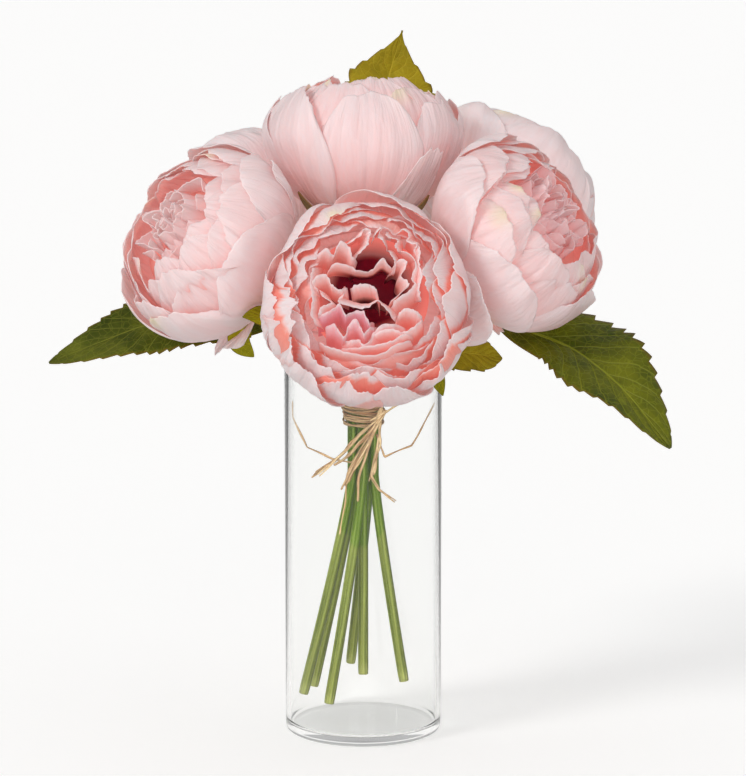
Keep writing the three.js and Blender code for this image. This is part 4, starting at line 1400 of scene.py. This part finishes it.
tieSettings = {
    "low": 163.6,
    "high": 175,
    "radius": 10,
    "turns": 11,
    "turnSteps": 64,
    "knot": (8.6, -9.6, 168.5),
    "loops": 7,
    "loopSteps": 40,
    "sides": 10,
    "strandSteps": 60,
    "strandThin": 0.16,  # thickness as a share of width
    "wander": 0.4,
    "seed": 77,
}
tails = [
    # points from the knot to the free end, width, strands side by side, and kinked where it bends sharply
    {"points": [(8.6, -10.4, 168.5), (-2, -14.2, 160), (-12, -17.5, 150), (-24.6, -20, 139)],
     "wide": 5, "count": 5},
    {"points": [(8, -10.4, 167), (0, -15, 158), (-8, -18, 150), (-14.5, -19, 146)],
     "wide": 3, "count": 2},
    {"points": [(8.6, -10.6, 167.5), (3, -14, 157), (-3, -16, 147), (-9.5, -16.5, 135)],
     "wide": 5.2, "count": 5},
    {"points": [(8.6, -10.6, 167), (2, -16, 152), (-1.6, -16.6, 140), (-2.8, -16, 125.5)],
     "wide": 1.3, "count": 1},
    {"points": [(9, -10.8, 167), (8, -14.5, 155), (5.5, -15.5, 142), (4, -15, 136)],
     "wide": 3.2, "count": 3},
    {"points": [(7.5, -15, 150), (4.5, -15.6, 139), (8.2, -15, 131.5), (17, -14, 125)],
     "wide": 1.6, "count": 2, "kinked": True},
    {"points": [(8.4, -10.4, 167), (-6, -15.4, 146), (-16, -15.5, 147.5), (-29.5, -10, 153),
                (-37.6, -3, 168), (-38, -2, 176)], "wide": 0.9, "count": 1, "kinked": True},
    {"points": [(7, -11, 160), (11.5, -16, 149), (25, -16, 155.5), (38.2, -4, 176)],
     "wide": 0.9, "count": 1, "kinked": True},
    {"points": [(-2, -16.2, 152), (-8, -16.6, 140), (-10, -16.4, 124), (-12.2, -16, 108)],
     "wide": 0.7, "count": 1},
    {"points": [(10, -9.5, 170), (15, -12, 174), (20, -13, 176.5), (23.5, -14, 180)],
     "wide": 1.1, "count": 1},
]


def raffiaFibre():
    # dry matt plant fibre: tan with darker lengthwise streaks, lighter or darker from strand to strand, and
    # with painted shade along the edges of each strand, where strands meet
    n = Nodes("raffiaFibre")
    inside, own, _, strandTone = n.data()
    streaks = n.lengthwise((5.0, 4.0, 90.0), 4.0, 0.6)
    tans = [(0.36, linear(112, 74, 40)), (0.48, linear(186, 144, 96)), (0.6, linear(234, 210, 164))]
    colour = n.ramp(streaks, tans)
    colour = n.blend(n.math("MULTIPLY", own, 0.5), colour, linear(230, 206, 160))
    colour = n.blend(n.math("MULTIPLY", strandTone, 0.6), colour, linear(150, 104, 66))
    # painted shade: darker along the edges of each strand, from the data's first number
    colour = n.blend(n.math("MULTIPLY", inside, 0.85), colour, linear(88, 58, 34))
    n.bump(streaks, 0.0006, 1.0)
    return n.surface(colour, 0.6, Specular_IOR_Level=0.3)


def strandArrays(points, wide, random, reference, kinked):
    # one flat strand along a path that wanders a little, with a ragged end; a kinked one runs straight from
    # point to point
    steps = tieSettings["strandSteps"]
    route = np.array(points) if kinked else smoothPath(points, np.linspace(0, 1, steps * 2))
    path = evenly(route, steps)
    t = np.linspace(0, 1, steps)
    wander = np.stack([ripple(t, random, 2, 6, 14) for k in range(3)], -1) * tieSettings["wander"]
    wander = wander * np.sin(math.pi * t)[:, None]
    half = wide / 2 * (1 + 0.18 * ripple(t, random, 3, 10, 30))
    half[-2:] *= (0.9, 0.6)
    return tubeArrays(path + wander, half, tieSettings["sides"], reference, tieSettings["strandThin"],
                      random.uniform(), twist=random.uniform(-1.0, 1.0))


def makeBand(random, material):
    # turns of raffia round the stems, each a circle whose height sways as a sine
    settings = tieSettings
    band = []
    for k in range(settings["turns"]):
        around = np.linspace(0, 2 * math.pi, settings["turnSteps"]) + random.uniform(0, 2 * math.pi)
        base = mix(settings["low"], settings["high"], (k + 0.5) / settings["turns"])
        height = base + random.uniform(-0.6, 0.6)
        height = height + random.uniform(0.3, 1.5) * np.sin(around + random.uniform(0, 6))
        radius = settings["radius"] + random.uniform(-0.4, 0.9)
        path = np.stack([radius * np.cos(around), radius * np.sin(around), height], -1)
        half = random.uniform(0.55, 1.0) * (1 + 0.2 * ripple(around / 6, random, 2, 8, 20))
        turn = tubeArrays(path, half, settings["sides"], (0.02, 0.01, 1), 0.8, random.uniform())
        turn[3][:, 3] = random.uniform(0.2, 1)
        # painted shade: the top and bottom of each turn, where the turns meet, are darker
        turn[3][:, 0] = turn[3][:, 2]
        band.append(turn)
    makePiece("raffiaBand", joinArrays(band), material, ["raffia_tie"], True)


def makeTails(random, material):
    # the knot's loops, flat ellipses seen edge on that slant over the band, and its loose ends
    settings = tieSettings
    loose = []
    turn = np.linspace(0, 2 * math.pi, settings["loopSteps"])
    for k in range(settings["loops"]):
        lean = random.uniform(25, 85) * degree
        reach = random.uniform(3.4, 5)
        x = reach * np.cos(turn) * math.cos(lean) + random.uniform(-1.5, 1)
        y = 1.5 * np.sin(turn) - 0.3
        z = reach * np.cos(turn) * math.sin(lean) + random.uniform(-1, 1.5)
        path = np.array(settings["knot"]) + np.stack([x, y, z], -1)
        half = np.full(settings["loopSteps"], random.uniform(0.5, 0.85))
        loose.append(tubeArrays(path, half, settings["sides"], (0.1, 1, 0.1), 0.6, random.uniform()))
    for tail in tails:
        points = np.array(tail["points"], dtype=float)
        width = tail["wide"] / tail["count"] * 1.15
        for k in range(tail["count"]):
            shift = (k - (tail["count"] - 1) / 2) * tail["wide"] / tail["count"]
            spread = np.linspace(0.3, 1.3, len(points))[:, None] * np.array([0.75, 0, 0.65]) * shift
            points[-1, 2] += random.uniform(-2, 2) * (tail["count"] > 2)
            kinked = tail.get("kinked", False)
            strand = strandArrays(points + spread, width, random, (0, 1, 0.05), kinked)
            strand[3][:, 3] = random.uniform(0, 0.8)
            loose.append(strand)
    makePiece("raffiaTails", joinArrays(loose), material, ["raffia_tie"], True)


def makeRaffia():
    random = np.random.default_rng(tieSettings["seed"])
    material = raffiaFibre()
    makeBand(random, material)
    makeTails(random, material)


makeRaffia()
print("raffia")
